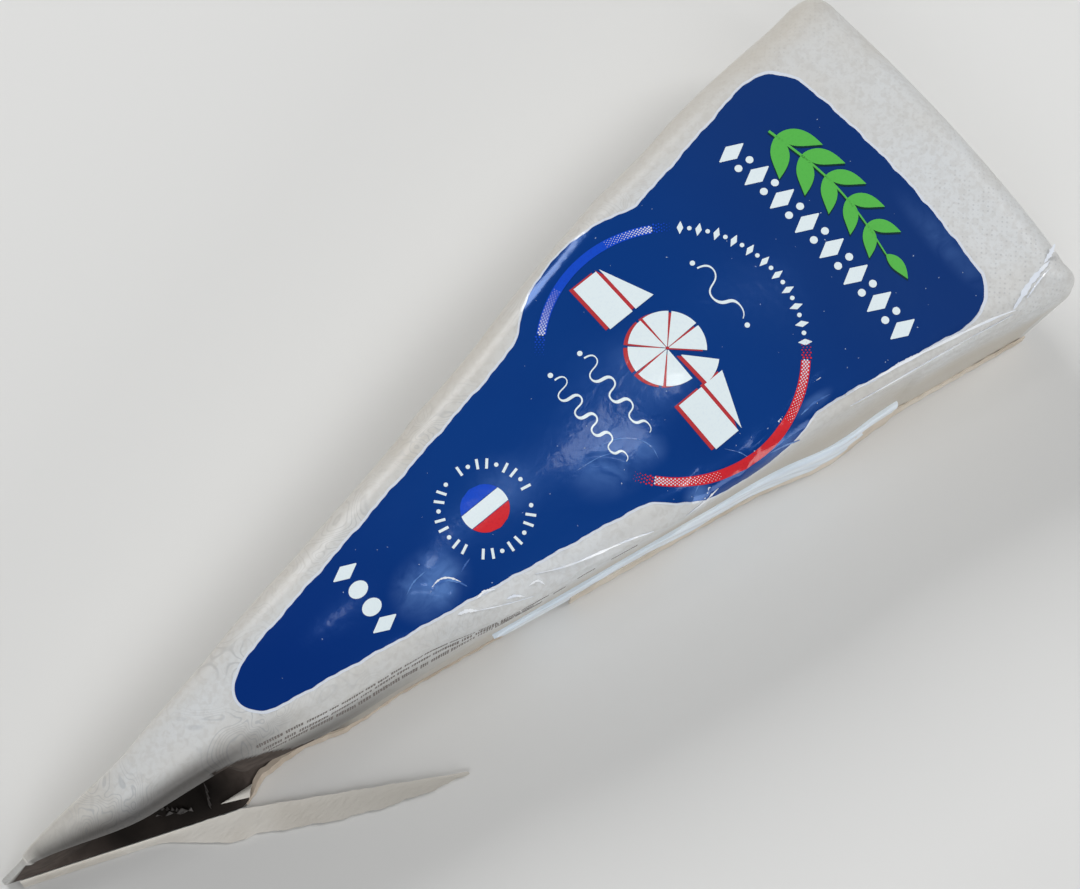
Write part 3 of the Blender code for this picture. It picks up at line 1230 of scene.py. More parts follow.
@dataclass(frozen=True)
class PlainInk:
    """One printed colour under glossy film, a little uneven like screened ink."""

    name: str
    tone: Tone
    deep: Tone
    screen: float = 2600.0

    def build(self) -> bpy.types.Material:
        """Mixes the ink with a deeper shade of itself in fine grains.

        Returns:
            The material.
        """
        recipe = Recipe(self.name, self.tone, 0.45, 0.8, 0.12, 0.1)
        place = recipe.body_place()
        grain = recipe.spread(recipe.noise(place, self.screen, 1.0), 0.45, 0.75, 0.3)
        colour = recipe.blend(grain, self.tone, self.deep)
        normal = recipe.bump(recipe.noise(place, 420.0, 3.0, 0.3), 0.1, 0.0004)
        return recipe.finish(Base_Color=colour, Coat_Normal=normal)


@dataclass(frozen=True)
class BarePaper:
    """Uncoated or cut paper: fibrous, matt, with soft blotches."""

    name: str
    tone: Tone
    blotch: Tone
    roughness: float = 0.7
    coat: float = 0.05
    shine: float = 0.3
    # Tone of painted shade that the paper darkens to along x, if named.
    far_end_shade: Tone | None = None
    far_end_shade_x: Span = (-0.074, -0.036)

    def build(self) -> bpy.types.Material:
        """Blotches of a second tone, painted shade towards the far end along x if named, and fibres as
        a relief.

        Returns:
            The material.
        """
        recipe = Recipe(self.name, self.tone, self.roughness, self.coat, 0.3, self.shine)
        place = recipe.body_place()
        patches = recipe.spread(recipe.noise(place, 90.0, 4.0), 0.38, 0.7)
        colour = recipe.blend(patches, self.tone, self.blotch)
        if self.far_end_shade is not None:
            along = recipe.axis(place, "X")
            colour = recipe.blend(recipe.spread(along, *self.far_end_shade_x), colour, self.far_end_shade)
        fibre = recipe.noise(recipe.scaled(place, (1.0, 3.0, 3.0)), 600.0, 4.0, 0.5)
        normal = recipe.bump(fibre, 0.3, 0.0003)
        return recipe.finish(Base_Color=colour, Normal=normal)


@dataclass(frozen=True)
class PocketPaintedShade:
    """Matt dark browns that paint the shade in the open fold, with paler painted shade at the tip and
    where the fold opens out.
    """

    deep: Tone = Tone(42, 37, 34)
    # Second dark tone of the painted shade, in blotches.
    deeper_shade: Tone = Tone(28, 25, 23)
    pale: Tone = Tone(104, 94, 88)
    tip_u: Span = (0.06, 0.2)
    open_u: Span = (0.34, 0.42)

    def build(self) -> bpy.types.Material:
        """Two deep browns in blotches as painted shade, and a paler one at both ends of the fold.

        Returns:
            The material.
        """
        recipe = Recipe("pocket_painted_shade", self.deep, 0.9, 0.0, 0.3, 0.1)
        sheet, place = recipe.sheet_place(), recipe.body_place()
        blotch = recipe.spread(recipe.noise(place, 150.0, 4.0), 0.36, 0.68)
        colour = recipe.blend(blotch, self.deep, self.deeper_shade)
        along = recipe.axis(sheet, "X")
        tip = recipe.maths("SUBTRACT", 1.0, recipe.spread(along, *self.tip_u))
        ends = recipe.maths("MAXIMUM", tip, recipe.spread(along, *self.open_u))
        streaks = recipe.spread(recipe.noise(place, 420.0, 3.0, 0.6), 0.3, 0.7, 0.4)
        share = recipe.times(ends, recipe.maths("SUBTRACT", 1.0, streaks))
        colour = recipe.blend(recipe.times(share, 0.7), colour, self.pale)
        normal = recipe.bump(recipe.noise(place, 700.0, 3.0), 0.3, 0.0003)
        return recipe.finish(Base_Color=colour, Normal=normal)


@dataclass(frozen=True)
class GlossFilm:
    """Glossy film over pale or dark backing, with shallow ripples."""

    name: str
    tone: Tone
    shade: Tone
    roughness: float
    ripple_scale: float = 160.0
    ripple: float = 0.35
    coat: float = 1.0

    def build(self) -> bpy.types.Material:
        """Streaks of a second tone along the film, and ripples as relief.

        Returns:
            The material.
        """
        recipe = Recipe(self.name, self.tone, self.roughness, self.coat, 0.06)
        place = recipe.body_place()
        drawn = recipe.scaled(place, (0.5, 1.0, 2.0))
        streaks = recipe.noise(drawn, self.ripple_scale, 4.0, 0.8)
        colour = recipe.blend(recipe.spread(streaks, 0.35, 0.65), self.tone, self.shade)
        normal = recipe.bump(streaks, self.ripple, 0.0008)
        return recipe.finish(Base_Color=colour, Normal=normal, Coat_Normal=normal)


class Palette:
    """Every finish of the pack."""

    def __init__(self) -> None:
        """Builds each finish once."""
        self.paper = WrapPaper().build()
        self.blue = FieldInk().build()
        self.white = PlainInk("white_ink", Tone(228, 240, 244), Tone(214, 228, 238)).build()
        self.halo = PlainInk("edge_pale_ink", Tone(216, 222, 232), Tone(204, 208, 218)).build()
        self.pale_screen = PlainInk(
            "screen_dot_ink", Tone(220, 224, 236), Tone(204, 206, 224)
        ).build()
        self.red = PlainInk("red_ink", Tone(212, 38, 48), Tone(178, 26, 42)).build()
        self.shadow_red = PlainInk("shadow_red_ink", Tone(186, 52, 58), Tone(150, 40, 54)).build()
        self.bright_blue = PlainInk("bright_blue_ink", Tone(6, 72, 200), Tone(8, 56, 170)).build()
        self.green = PlainInk("leaf_green_ink", Tone(88, 184, 78), Tone(80, 170, 72)).build()
        self.deep_green = PlainInk("leaf_shadow_ink", Tone(8, 48, 52), Tone(6, 36, 48)).build()
        self.small_print = PlainInk(
            "small_print_ink", Tone(108, 100, 96), Tone(138, 129, 122)
        ).build()
        self.fleck = BarePaper("dust_fleck", Tone(170, 186, 210), Tone(130, 150, 188)).build()
        # Closing strip: near-white blue, partly its own pale film and partly a painted reflection of a
        # bright light.
        self.strip = GlossFilm(
            "closing_film_painted_reflection", Tone(236, 246, 255), Tone(222, 235, 248), 0.35, 160.0, 0.14, 0.35
        ).build()
        # Pocket film: clear film drawn opaque in dark greys, which paint the shade of the pocket behind
        # it.
        self.pocket_film = GlossFilm(
            "pocket_film_painted_shade", Tone(78, 74, 72), Tone(44, 40, 38), 0.4, 320.0, 0.5, 0.4
        ).build()
        # Crease ridges: near white over the paper and light blue over the field, as painted highlights.
        self.crease_highlight = GlossFilm(
            "painted_crease_highlight", Tone(246, 249, 253), Tone(228, 234, 244), 0.25, 400.0, 0.2
        ).build()
        self.blue_crease_highlight = GlossFilm(
            "painted_crease_highlight_on_blue", Tone(96, 140, 205), Tone(48, 92, 168), 0.25, 400.0, 0.2
        ).build()
        # Matt dark material of painted shade for the pocket's faces.
        self.painted_shade = PocketPaintedShade().build()
        # Flap paper darkens towards the ear's pointed end as painted shade.
        self.flap = BarePaper(
            "flap_bare_paper", Tone(244, 240, 232), Tone(232, 226, 216), far_end_shade=Tone(200, 196, 188)
        ).build()
        self.hem = BarePaper("hem_paper", Tone(224, 214, 200), Tone(202, 190, 174)).build()
        self.cut_edge = BarePaper(
            "cut_paper_edge", Tone(212, 199, 184), Tone(186, 170, 152)
        ).build()


@dataclass(frozen=True)
class FieldOutline:
    """Outline of the blue field: a tapering band with round ends and one round bulge."""

    nose_u: float = 46.7
    nose_cap: float = 4.6
    rind_u: float = 174.7
    rind_bow: float = 1.1
    near_at_nose: float = -5.3
    near_slope: float = -0.192
    far_at_nose: float = 2.55
    far_slope: float = 0.181
    origin_u: float = 49.4
    bulge_centre: Span = (130.0, -2.0)
    bulge_radius: float = 23.3
    blend: float = 1.2
    near_corner: float = 8.6
    far_corner: float = 8.2
    near_waves: Waves = (
        (0.07, 7.3, 0.4),
        (0.05, 3.9, 2.0),
        (0.035, 1.9, 1.1),
    )
    far_waves: Waves = (
        (0.08, 9.1, 1.4),
        (0.06, 4.6, 0.2),
        (0.04, 2.1, 2.6),
    )
    rind_waves: Waves = (
        (0.09, 6.1, 0.9),
        (0.06, 3.3, 2.2),
        (0.03, 1.7, 0.0),
    )

    def half(self, u: Array, near: bool) -> Array:
        """Distance from the zero line to one long edge, rounded at both ends.

        The edge is the larger of a straight taper and the bulge's circle, joined smoothly
        as half of (a + b + sqrt((a - b) squared + blend squared)).

        Args:
            u: Flat places along the slice.
            near: Whether the edge is the one at -w.

        Returns:
            Signed coordinate w of the edge.
        """
        sign = -1.0 if near else 1.0
        start, slope = (
            (self.near_at_nose, self.near_slope) if near else (self.far_at_nose, self.far_slope)
        )
        taper = sign * (start + slope * (u - self.origin_u))
        inside = np.maximum(self.bulge_radius**2 - (u - self.bulge_centre[0]) ** 2, 0.0)
        circle = np.where(inside > 0.0, sign * self.bulge_centre[1] + np.sqrt(inside), -9.0)
        reach = (taper + circle + np.hypot(taper - circle, self.blend)) / 2.0
        corner = self.near_corner if near else self.far_corner
        past = np.clip(u - (self.rind_u - corner), 0.0, corner)
        reach = reach - (corner - np.sqrt(corner**2 - past**2))
        return sign * reach + ripple(u, self.near_waves if near else self.far_waves)

    def edges(self, u: Array, grow: float = 0.0) -> tuple[Array, Array]:
        """Both long edges, closing over the nose cap, moved outwards by a margin.

        Args:
            u: Flat places along the slice.
            grow: Margin by which the outline is moved outwards.

        Returns:
            Coordinate w of the near edge and of the far edge.
        """
        near, far = self.half(u, True) - grow, self.half(u, False) + grow
        middle = (near + far) / 2.0
        ahead = np.clip(1.0 - (u - self.nose_u + grow) / self.nose_cap, 0.0, 0.9995)
        cap = np.sqrt(1.0 - ahead**2)
        return middle + (near - middle) * cap, middle + (far - middle) * cap

    def rind_edge(self, w: Array) -> Array:
        """Bowed end of the field at the rind, with its fine waves."""
        across = np.clip(w / 20.0, -1.0, 1.0)
        return self.rind_u + self.rind_bow * (1.0 - across**2) + ripple(w, self.rind_waves)

    def grid(self, rows: int, columns: int, grow: float = 0.0) -> Array:
        """Flat places of the whole field as [row, column, 2], closer together at the ends.

        Args:
            rows: Rows between the rounded ends.
            columns: Cells across.
            grow: Margin by which the outline is moved outwards.

        Returns:
            The places.
        """
        cap = self.nose_u - grow + self.nose_cap * (1.0 - np.cos(np.linspace(0.04, RIGHT_ANGLE, 16)))
        turn = np.linspace(0.0, RIGHT_ANGLE, 22)
        corner = self.rind_u - self.near_corner + self.near_corner * np.sin(turn)
        body = np.linspace(cap[-1], corner[0], rows)
        u = np.concatenate([cap, body[1:-1], corner])
        near, far = self.edges(u, grow)
        across = np.linspace(0.0, 1.0, columns + 1)
        w = near[:, None] + (far - near)[:, None] * across
        push = ease(self.rind_u - 2.0 * self.near_corner, self.rind_u, u)[:, None]
        reach = u[:, None] + push * (self.rind_edge(w) + grow - self.rind_u)
        return np.stack([reach, w], axis=2)

    def inside(self, u: Array, w: Array) -> Array:
        """How far a flat place lies inside the outline, negative outside.

        Args:
            u: Flat places along the slice.
            w: Flat places across it.

        Returns:
            The distance at each place.
        """
        safe = np.clip(u, self.nose_u, self.rind_u)
        near, far = self.edges(safe)
        ends = np.minimum(u - self.nose_u, self.rind_edge(w) - u)
        return np.minimum(np.minimum(w - near, far - w), ends)


@dataclass
class WrapSheet:
    """The whole wrap as one closed uneven surface, with its flat coordinates and marks."""

    drape: Drape
    outline: FieldOutline
    palette: Palette
    nose_rows: int = 104
    body_rows: int = 204
    nose_zone_end: float = 68.0
    columns: int = 74
    shoulder_steps: int = 10
    wall_steps: int = 46
    bottom_steps: int = 3
    corner_lines: int = 14
    nose_corner_lines: int = 5
    sink: float = 0.17
    flap_rise: float = 0.5
    flap_half_width: float = 29.0
    flap_taper: float = 0.62
    flap_middle_w: float = -1.0
    flap_height: float = 21.0
    flap_edge: float = 0.6
    flap_starts: Span = (1.5, 4.0)
    # Painted shade: how dark the paper is painted at the nose's near rim, in the pocket, along the near
    # side's valley and low on the near side.
    full_painted_shade: float = 0.93
    painted_shade_share: float = 0.86
    eave_reach: Span = (-1.2, 1.2)
    eave_end_u: Span = (36.0, 56.0)
    pocket_past: Span = (1.2, 1.6)
    pocket_end_u: Span = (40.5, 42.0)
    tip_down: Span = (0.0, 0.08)
    valley_edge: Span = (-0.3, 0.8)
    valley_start_u: Span = (36.0, 37.0)
    valley_end_u: Span = (50.0, 64.0)
    shade_share: float = 0.8
    shade_down: Span = (0.0, 0.3)
    shade_lifts: float = 0.6
    shade_lifts_down: Span = (0.45, 0.8)
    shade_end_u: Span = (50.0, 86.0)
    rim_reach: Span = (-2.6, 1.2)
    rim_end_u: Span = (34.0, 52.0)
    rim_start: Span = (0.4, 3.0)
    # Beige painted shade on the near side and on the far shoulder.
    near_beige_shade: float = 0.75
    near_beige_shade_down: Span = (0.0, 0.5)
    far_beige_shade: float = 0.6
    far_beige_shade_reach: Span = (-3.0, 5.0)
    rind_dots_u: Span = (150.0, 178.0)
    rind_dots_w: Span = (6.0, -22.0)
    rind_dots_least: float = 0.35
    far_dots: float = 0.4
    far_dots_w: Span = (20.0, 26.0)
    far_dots_u: Span = (110.0, 150.0)
    lines_end_u: Span = (44.0, 60.0)
    lines_far_reach: Span = (-9.0, -5.0)
    lines_far_end_u: Span = (120.0, 160.0)
    lines_faint: float = 0.3
    lines_faint_end_u: float = 100.0
    fold_line_u: tuple[float, ...] = (36.0, 39.0, 42.0, 45.5, 49.0, 64.0)
    fold_line_w: tuple[float, ...] = (-5.8, -7.0, -8.3, -13.0, -18.5, -24.0)

    def top(self) -> Array:
        """Flat places of the top face as [row, column, 2], bowed towards the rind end.

        Returns:
            The places.
        """
        shape = self.drape.shape
        start = shape.nose_top_x + shape.nose_shoulder
        end = shape.rind_x - shape.rind_shoulder - shape.rind_bow
        nose = np.linspace(start, self.nose_zone_end, self.nose_rows + 1)
        body = np.linspace(self.nose_zone_end, end, self.body_rows + 1)
        along = np.concatenate([nose, body[1:]])
        across = np.linspace(-1.0, 1.0, self.columns + 1)
        share = (along - start) / (end - start)
        far_share = np.where(across > 0.0, shape.far_bow_share, 1.0)
        bow = 1.0 - far_share * np.abs(across) ** 3
        u = along[:, None] + shape.rind_bow * share[:, None] ** 4 * bow
        near, far = shape.near_edge(u), shape.far_edge(u)
        w = (near + far) / 2.0 + (far - near) / 2.0 * across
        return np.stack([u, w], axis=2)

    def depths(self, reach: Array, crest: Array) -> Array:
        """Length of sheet from the rim to each point of the side lines: [line, step].

        Args:
            reach: Shoulder radius of each line.
            crest: Height of the rim at each line.

        Returns:
            The lengths.
        """
        shape = self.drape.shape
        turn = np.linspace(0.0, RIGHT_ANGLE, self.shoulder_steps + 1)[1:]
        wall = (crest - reach - shape.bottom_edge)[:, None] * self.levels()[1:]
        quarter = (reach * RIGHT_ANGLE)[:, None]
        return np.concatenate([reach[:, None] * turn, quarter + wall], axis=1)

    def levels(self) -> Array:
        """Shares down the wall, from the shoulder's foot to the bottom edge."""
        return np.linspace(0.0, 1.0, self.wall_steps + 1)

    def foot(self, lines: Array, facing: Array) -> Array:
        """Adds the rounding of the bottom edge: a quarter ellipse inwards and down.

        Args:
            lines: Lines as [line, step, 3].
            facing: Outward direction of each line.

        Returns:
            The lines with the points of the rounding added.
        """
        shape = self.drape.shape
        turn = np.linspace(0.0, RIGHT_ANGLE, self.bottom_steps + 1)[1:]
        last = lines[:, -1:, :]
        inward = shape.bottom_round * (1.0 - np.cos(turn))[None, :, None]
        rounded = np.repeat(last, self.bottom_steps, axis=1)
        rounded[..., :2] -= facing[:, None, :] * inward
        rounded[..., 2] = shape.bottom_edge * (1.0 - np.sin(turn))
        return np.concatenate([lines, rounded], axis=1)

    def end_lines(self, rim: Array, reach: Array, lean: Array, way: float) -> tuple[Array, Array]:
        """Profiles of the rind end or of the nose, as distance out and height.

        Args:
            rim: Points of the rim as [line, 3].
            reach: Shoulder radius of each line.
            lean: How far each line leans by the bottom edge, as [line, 2].
            way: 1 for the rind end, whose wall swells, and -1 for the nose.

        Returns:
            Distance out of each line, and its points without the foot.
        """
        shape = self.drape.shape
        turn = np.linspace(0.0, RIGHT_ANGLE, self.shoulder_steps + 1)[1:]
        levels = self.levels()[1:]
        swell = shape.rind_swell * max(0.0, way) * np.sin(math.pi * levels)
        out = np.concatenate(
            [reach[:, None] * np.sin(turn), reach[:, None] + swell[None, :]], axis=1
        )
        high = (rim[:, 2] - reach)[:, None]
        bend = rim[:, 2:3] - reach[:, None] * (1.0 - np.cos(turn))
        z = np.concatenate([bend, high + (shape.bottom_edge - high) * levels], axis=1)
        share = np.concatenate([np.zeros_like(turn), levels])
        x = rim[:, :1] + way * out + lean[:, :1] * share
        y = rim[:, 1:2] + lean[:, 1:] * share
        return out, np.stack([x, y, z], axis=2)

    def fan(self, before: Array, after: Array, rim: Array, turns: Array, full: float) -> Array:
        """Lines round one corner, from the line before it to the line after it.

        Both neighbours are taken as an outward distance and a sideways lean from the corner's
        rim point, and the lines between mix them by an S curve while they turn.

        Args:
            before: Line before the corner as [step, 3].
            after: Line after it.
            rim: The corner's point on the rim.
            turns: Facing angle of the line before, of each new line and of the line after.
            full: How much fuller than round the corner is.

        Returns:
            The new lines as [line, step, 3].
        """
        share = ease(0.0, 1.0, np.linspace(0.0, 1.0, len(turns)))[1:-1, None, None]
        facing = np.stack([np.cos(turns), np.sin(turns)], axis=1)

        def split(line: Array, face: Array) -> tuple[Array, Array]:
            """Outward distance and sideways lean of a line.

            Args:
                line: Points of the line.
                face: Direction it faces.

            Returns:
                The distance and the lean at each step.
            """
            step = line[:, :2] - rim[:2]
            out = step @ face
            return out[:, None], step - out[:, None] * face

        out_a, lean_a = split(before, facing[0])
        out_b, lean_b = split(after, facing[-1])
        out = out_a + (out_b - out_a) * share
        out = out * (1.0 + full * np.sin(2.0 * turns[1:-1, None, None]) ** 2)
        lean = lean_a + (lean_b - lean_a) * share
        plan = rim[:2] + facing[1:-1, None, :] * out + lean
        z = before[:, 2:] + (after[:, 2:] - before[:, 2:]) * share
        return np.concatenate([plan, z], axis=2)

    def bridge(self, before: Array, after: Array) -> Array:
        """Lines between two lines at the nose, evenly spaced on the straight between them."""
        share = np.linspace(0.0, 1.0, self.nose_corner_lines + 2)[1:-1, None, None]
        return before + (after - before) * share

    def side_lines(self, flat: Array, rim: Array) -> tuple[Array, Array, Array, Array]:
        """All lines of the side, anticlockwise from the tip along the near side.

        Args:
            flat: Flat places of the top face.
            rim: Points of the top face.

        Returns:
            The lines' points, their facing, their sheet lengths from the rim, and for each
            line the row and column of its rim point.
        """
        shape = self.drape.shape
        rows, last = len(flat), self.columns
        near_u, far_u = flat[:, 0, 0], flat[:, -1, 0]
        crest_near, crest_far = shape.crest_height(near_u), shape.crest_height(far_u)
        near_depth = self.depths(shape.near_shoulder(near_u), crest_near)
        far_depth = self.depths(shape.far_shoulder(far_u), crest_far)
        near = shape.lay(near_u[:, None], shape.near_edge(near_u)[:, None] - near_depth)
        far = shape.lay(far_u[:, None], shape.far_edge(far_u)[:, None] + far_depth)
        share = np.linspace(0.0, 1.0, last + 1)
        reach = shape.rind_shoulder + (shape.far_rind_shoulder - shape.rind_shoulder) * share**4
        tuck = np.stack([0.0 * share, shape.corner_tuck * (1.0 - share) ** 3], axis=1)
        _, rind = self.end_lines(rim[-1], reach, tuck, 1.0)
        tight = np.full(last + 1, shape.nose_shoulder)
        _, nose = self.end_lines(rim[0], tight, np.tile(shape.nose_lean, (last + 1, 1)), -1.0)
        wide = np.linspace(0.0, RIGHT_ANGLE, self.corner_lines + 2)
        narrow = np.linspace(0.0, RIGHT_ANGLE, self.nose_corner_lines + 2)
        corners = (
            self.fan(near[-1], rind[0], rim[-1, 0], wide - RIGHT_ANGLE, shape.corner_fullness),
            self.fan(rind[-1], far[-1], rim[-1, -1], wide, shape.corner_fullness / 2.0),
            self.bridge(far[0], nose[-1]),
            self.bridge(nose[0], near[0]),
        )
        lines = np.concatenate(
            [near, corners[0], rind, corners[1], far[::-1], corners[2], nose[::-1], corners[3]]
        )
        turns = np.concatenate(
            [
                np.full(rows, -RIGHT_ANGLE),
                (wide - RIGHT_ANGLE)[1:-1],
                np.zeros(last + 1),
                wide[1:-1],
                np.full(rows, RIGHT_ANGLE),
                (narrow + RIGHT_ANGLE)[1:-1],
                np.full(last + 1, math.pi),
                (narrow + math.pi)[1:-1],
            ]
        )
        facing = np.stack([np.cos(turns), np.sin(turns)], axis=1)
        up, across = np.arange(rows), np.arange(last + 1)
        wide_row, wide_one = np.full(len(wide) - 2, rows - 1), np.ones(len(wide) - 2, int)
        slim_one = np.ones(len(narrow) - 2, int)
        row = [up, wide_row, across * 0 + rows - 1, wide_row, up[::-1], slim_one * 0]
        column = [up * 0, wide_one * 0, across, wide_one * last, up * 0 + last, slim_one * last]
        row += [across * 0, slim_one * 0]
        column += [across[::-1], slim_one * 0]
        place = np.stack([np.concatenate(row), np.concatenate(column)], axis=1)
        steps = np.diff(np.concatenate([rim[place[:, 0], place[:, 1]][:, None], lines], 1), axis=1)
        length = np.cumsum(np.linalg.norm(steps, axis=2), axis=1)
        length[:rows] = near_depth
        return lines, facing, length, place

    def base(self, facets: Facets, feet: Array, rows: int) -> None:
        """Closes the flat underside with strips to a middle line, and fans at both ends.

        Args:
            facets: The mesh that gets the faces.
            feet: Number of the last point of each side line.
            rows: Number of rows of the top face.
        """
        middle_line = self.columns + 1 + self.corner_lines
        far_start = rows + self.corner_lines + middle_line
        near, far = feet[:rows], feet[far_start : far_start + rows][::-1]
        points = np.concatenate(facets.points)
        hubs = facets.add_points((points[near] + points[far]) / 2.0)
        rind = feet[rows - 1 : far_start + 1]
        nose = np.concatenate([feet[far_start + rows - 1 :], feet[:1]])
        grids = (
            np.stack([near, hubs], axis=1),
            np.stack([hubs, far], axis=1),
            np.stack([rind, np.full(len(rind), hubs[-1])], axis=1),
            np.stack([nose, np.full(len(nose), hubs[0])], axis=1),
        )
        for grid in grids:
            spots = points[np.minimum(grid, len(points) - 1)][..., :2] / SHEET_UNIT
            spots[grid >= len(points)] = 0.0
            bake = np.stack([spots[..., 0] * 0.5 + 0.02, spots[..., 1] * 0.1 + 0.05], axis=2)
            facets.add_grid(grid, flip=True, **{BAKE_MAP: bake, SHEET_MAP: spots})

    def end_fold(self, u: Array, w: Array) -> Array:
        """Rise of the bottom sheet's end flap, folded up over the rind end.

        The flap is a trapezium: at a height h above the foot it reaches a half width less a
        share of h to both sides, and its edges step down over a little more than half a
        millimetre.

        Args:
            u: Flat places along the slice.
            w: Flat places across it.

        Returns:
            The rise at each place.
        """
        shape = self.drape.shape
        past = u - (shape.rind_x - shape.rind_shoulder)
        height = shape.full_height - past
        half = self.flap_half_width - self.flap_taper * height
        aside = np.abs(w - self.flap_middle_w)
        inside = np.minimum(half - aside, self.flap_height - height)
        rise = ease(0.0, self.flap_edge, inside) * ease(*self.flap_starts, past)
        return self.flap_rise * rise

    def marks(self, flat: Array, turned_away: Array, down: Array) -> dict[str, Array]:
        """Numbers that the paper's material reads, at each point.

        Args:
            flat: Flat places of all points.
            turned_away: 1 on the near side, falling to 0 round the nose, and 0 elsewhere.
            down: Share down the wall, 0 on the top face.

        Returns:
            Shares of dark painted shade, of beige painted shade, of fine lines and of embossed dots.
        """
        u, w = flat[:, 0], flat[:, 1]
        shape = self.drape.shape
        place = np.clip(u, shape.nose_top_x, shape.rind_x)
        beyond = shape.near_edge(place) - w
        past = beyond / shape.near_shoulder(place)
        # Painted shade at the nose: the near shoulder darkens past its rim, and the pocket is painted
        # fully dark.
        eave = self.painted_shade_share * ease(*self.eave_reach, beyond)
        eave = eave * (1.0 - ease(*self.eave_end_u, u))
        pocket = ease(*self.pocket_past, past) * (1.0 - ease(*self.pocket_end_u, u))
        eave = np.maximum(eave, pocket)
        # At the very tip, painted shade darkens the end downwards.
        eave = np.where(u < shape.nose_top_x + 1.0, ease(*self.tip_down, down), eave)
        # Painted shade in the near side's valley, beyond a listed fold line.
        fold_line = np.interp(u, self.fold_line_u, self.fold_line_w)
        valley = ease(*self.valley_edge, fold_line - w) * ease(*self.valley_start_u, u)
        valley = valley * (1.0 - ease(*self.valley_end_u, u))
        # Painted shade low on the near side, lighter again towards its foot.
        lifted = 1.0 - self.shade_lifts * ease(*self.shade_lifts_down, down)
        shade = self.shade_share * ease(*self.shade_down, down) * lifted
        shade = shade * (1.0 - ease(*self.shade_end_u, u))
        # Painted shade on the top face just inside the near rim at the nose.
        rim = self.painted_shade_share * ease(*self.rim_reach, beyond) * (1.0 - ease(*self.rim_end_u, u))
        rim_from, rim_full = self.rim_start
        rim = rim * ease(shape.nose_top_x + rim_from, shape.nose_top_x + rim_full, u)
        # All dark painted shade together.
        painted_shade = np.maximum(rim, turned_away * np.maximum(eave, np.maximum(valley, shade)))
        far_past = w - shape.far_edge(place)
        # Beige painted shade on the near side and on the far shoulder.
        near = self.near_beige_shade * ease(*self.near_beige_shade_down, down) * turned_away
        far = self.far_beige_shade * ease(*self.far_beige_shade_reach, far_past)
        beige = np.clip(near + far * (turned_away < 1.0), 0.0, 1.0)
        least = self.rind_dots_least
        rind_dots = least + (1.0 - least) * ease(*self.rind_dots_w, w)
        rind_dots = ease(*self.rind_dots_u, u) * rind_dots
        far_dots = self.far_dots * ease(*self.far_dots_w, w) * ease(*self.far_dots_u, u)
        dots = np.clip(rind_dots + far_dots, 0.0, 1.0)
        band = ease(*self.lines_far_reach, far_past) * (1.0 - ease(*self.lines_far_end_u, u))
        faint = self.lines_faint * (u < self.lines_faint_end_u)
        lines = np.clip(1.0 - ease(*self.lines_end_u, u) + band + faint, 0.0, 1.0)
        return {"painted_shade": painted_shade, "beige": beige, "dots": dots, "lines": lines}

    def build(self) -> bpy.types.Object:
        """Builds the closed wrap: top face, side lines and underside, then the relief.

        Returns:
            The piece.
        """
        drape, shape = self.drape, self.drape.shape
        flat = self.top()
        rim = shape.lay(flat[..., 0], flat[..., 1])
        rows = len(flat)
        lines, facing, length, place = self.side_lines(flat, rim)
        rim_flat = flat[place[:, 0], place[:, 1]]
        side_flat = rim_flat[:, None, :] + facing[:, None, :] * length[..., None]
        low_flat = np.repeat(side_flat[:, -1:], self.bottom_steps, axis=1)
        side_flat = np.concatenate([side_flat, low_flat], axis=1)
        lines = self.foot(lines, facing)
        facets = Facets()
        top_numbers = facets.add_points(rim)
        side_numbers = facets.add_points(lines)
        rim_numbers = top_numbers[place[:, 0], place[:, 1]]
        strip = np.concatenate([rim_numbers[:, None], side_numbers], axis=1)
        strip = np.concatenate([strip, strip[:1]])
        strip_flat = np.concatenate([rim_flat[:, None], side_flat], axis=1)
        strip_flat = np.concatenate([strip_flat, strip_flat[:1]])
        self.add_faces(facets, top_numbers, flat, strip, strip_flat, rows)
        self.base(facets, side_numbers[:, -1], rows)
        down = np.concatenate(
            [np.zeros(self.shoulder_steps), self.levels()[1:], np.ones(self.bottom_steps)]
        )
        down = np.tile(down, (len(lines), 1))
        near_side = np.where(facing[:, 0] <= 0.0, np.clip(-4.0 * facing[:, 1], 0.0, 1.0), 0.0)
        near_side[:rows] = 1.0
        kind = np.repeat(near_side[:, None], down.shape[1], axis=1)
        self.raise_relief(facets, flat, side_flat, down)
        piece = facets.build("wrap_sheet", drape.shift)
        spare = facets.count - flat[..., 0].size - down.size
        all_flat = np.concatenate([flat.reshape(-1, 2), side_flat.reshape(-1, 2), np.zeros((spare, 2))])
        kinds = np.concatenate([np.zeros(flat[..., 0].size), kind.ravel(), np.zeros(spare)])
        downs = np.concatenate([np.zeros(flat[..., 0].size), down.ravel(), np.ones(spare)])
        marks = self.marks(all_flat, kinds, downs)
        for name, values in marks.items():
            mark_points(piece, name, values)
        self.shade_pocket_faces(piece, marks["painted_shade"])
        return piece

    def shade_pocket_faces(self, piece: bpy.types.Object, painted_shade: Array) -> None:
        """Gives the faces that are all painted shade the second, matt dark material.

        Args:
            piece: The wrap.
            painted_shade: Share of dark painted shade at each point.
        """
        mesh = piece.data
        corners = np.empty(len(mesh.loops), dtype=np.int32)
        mesh.loops.foreach_get("vertex_index", corners)
        starts = np.empty(len(mesh.polygons), dtype=np.int32)
        mesh.polygons.foreach_get("loop_start", starts)
        dark = np.minimum.reduceat(painted_shade[corners], starts) > self.full_painted_shade
        for material in (self.palette.paper, self.palette.painted_shade):
            mesh.materials.append(material)
        mesh.polygons.foreach_set("material_index", dark.astype(np.int32))

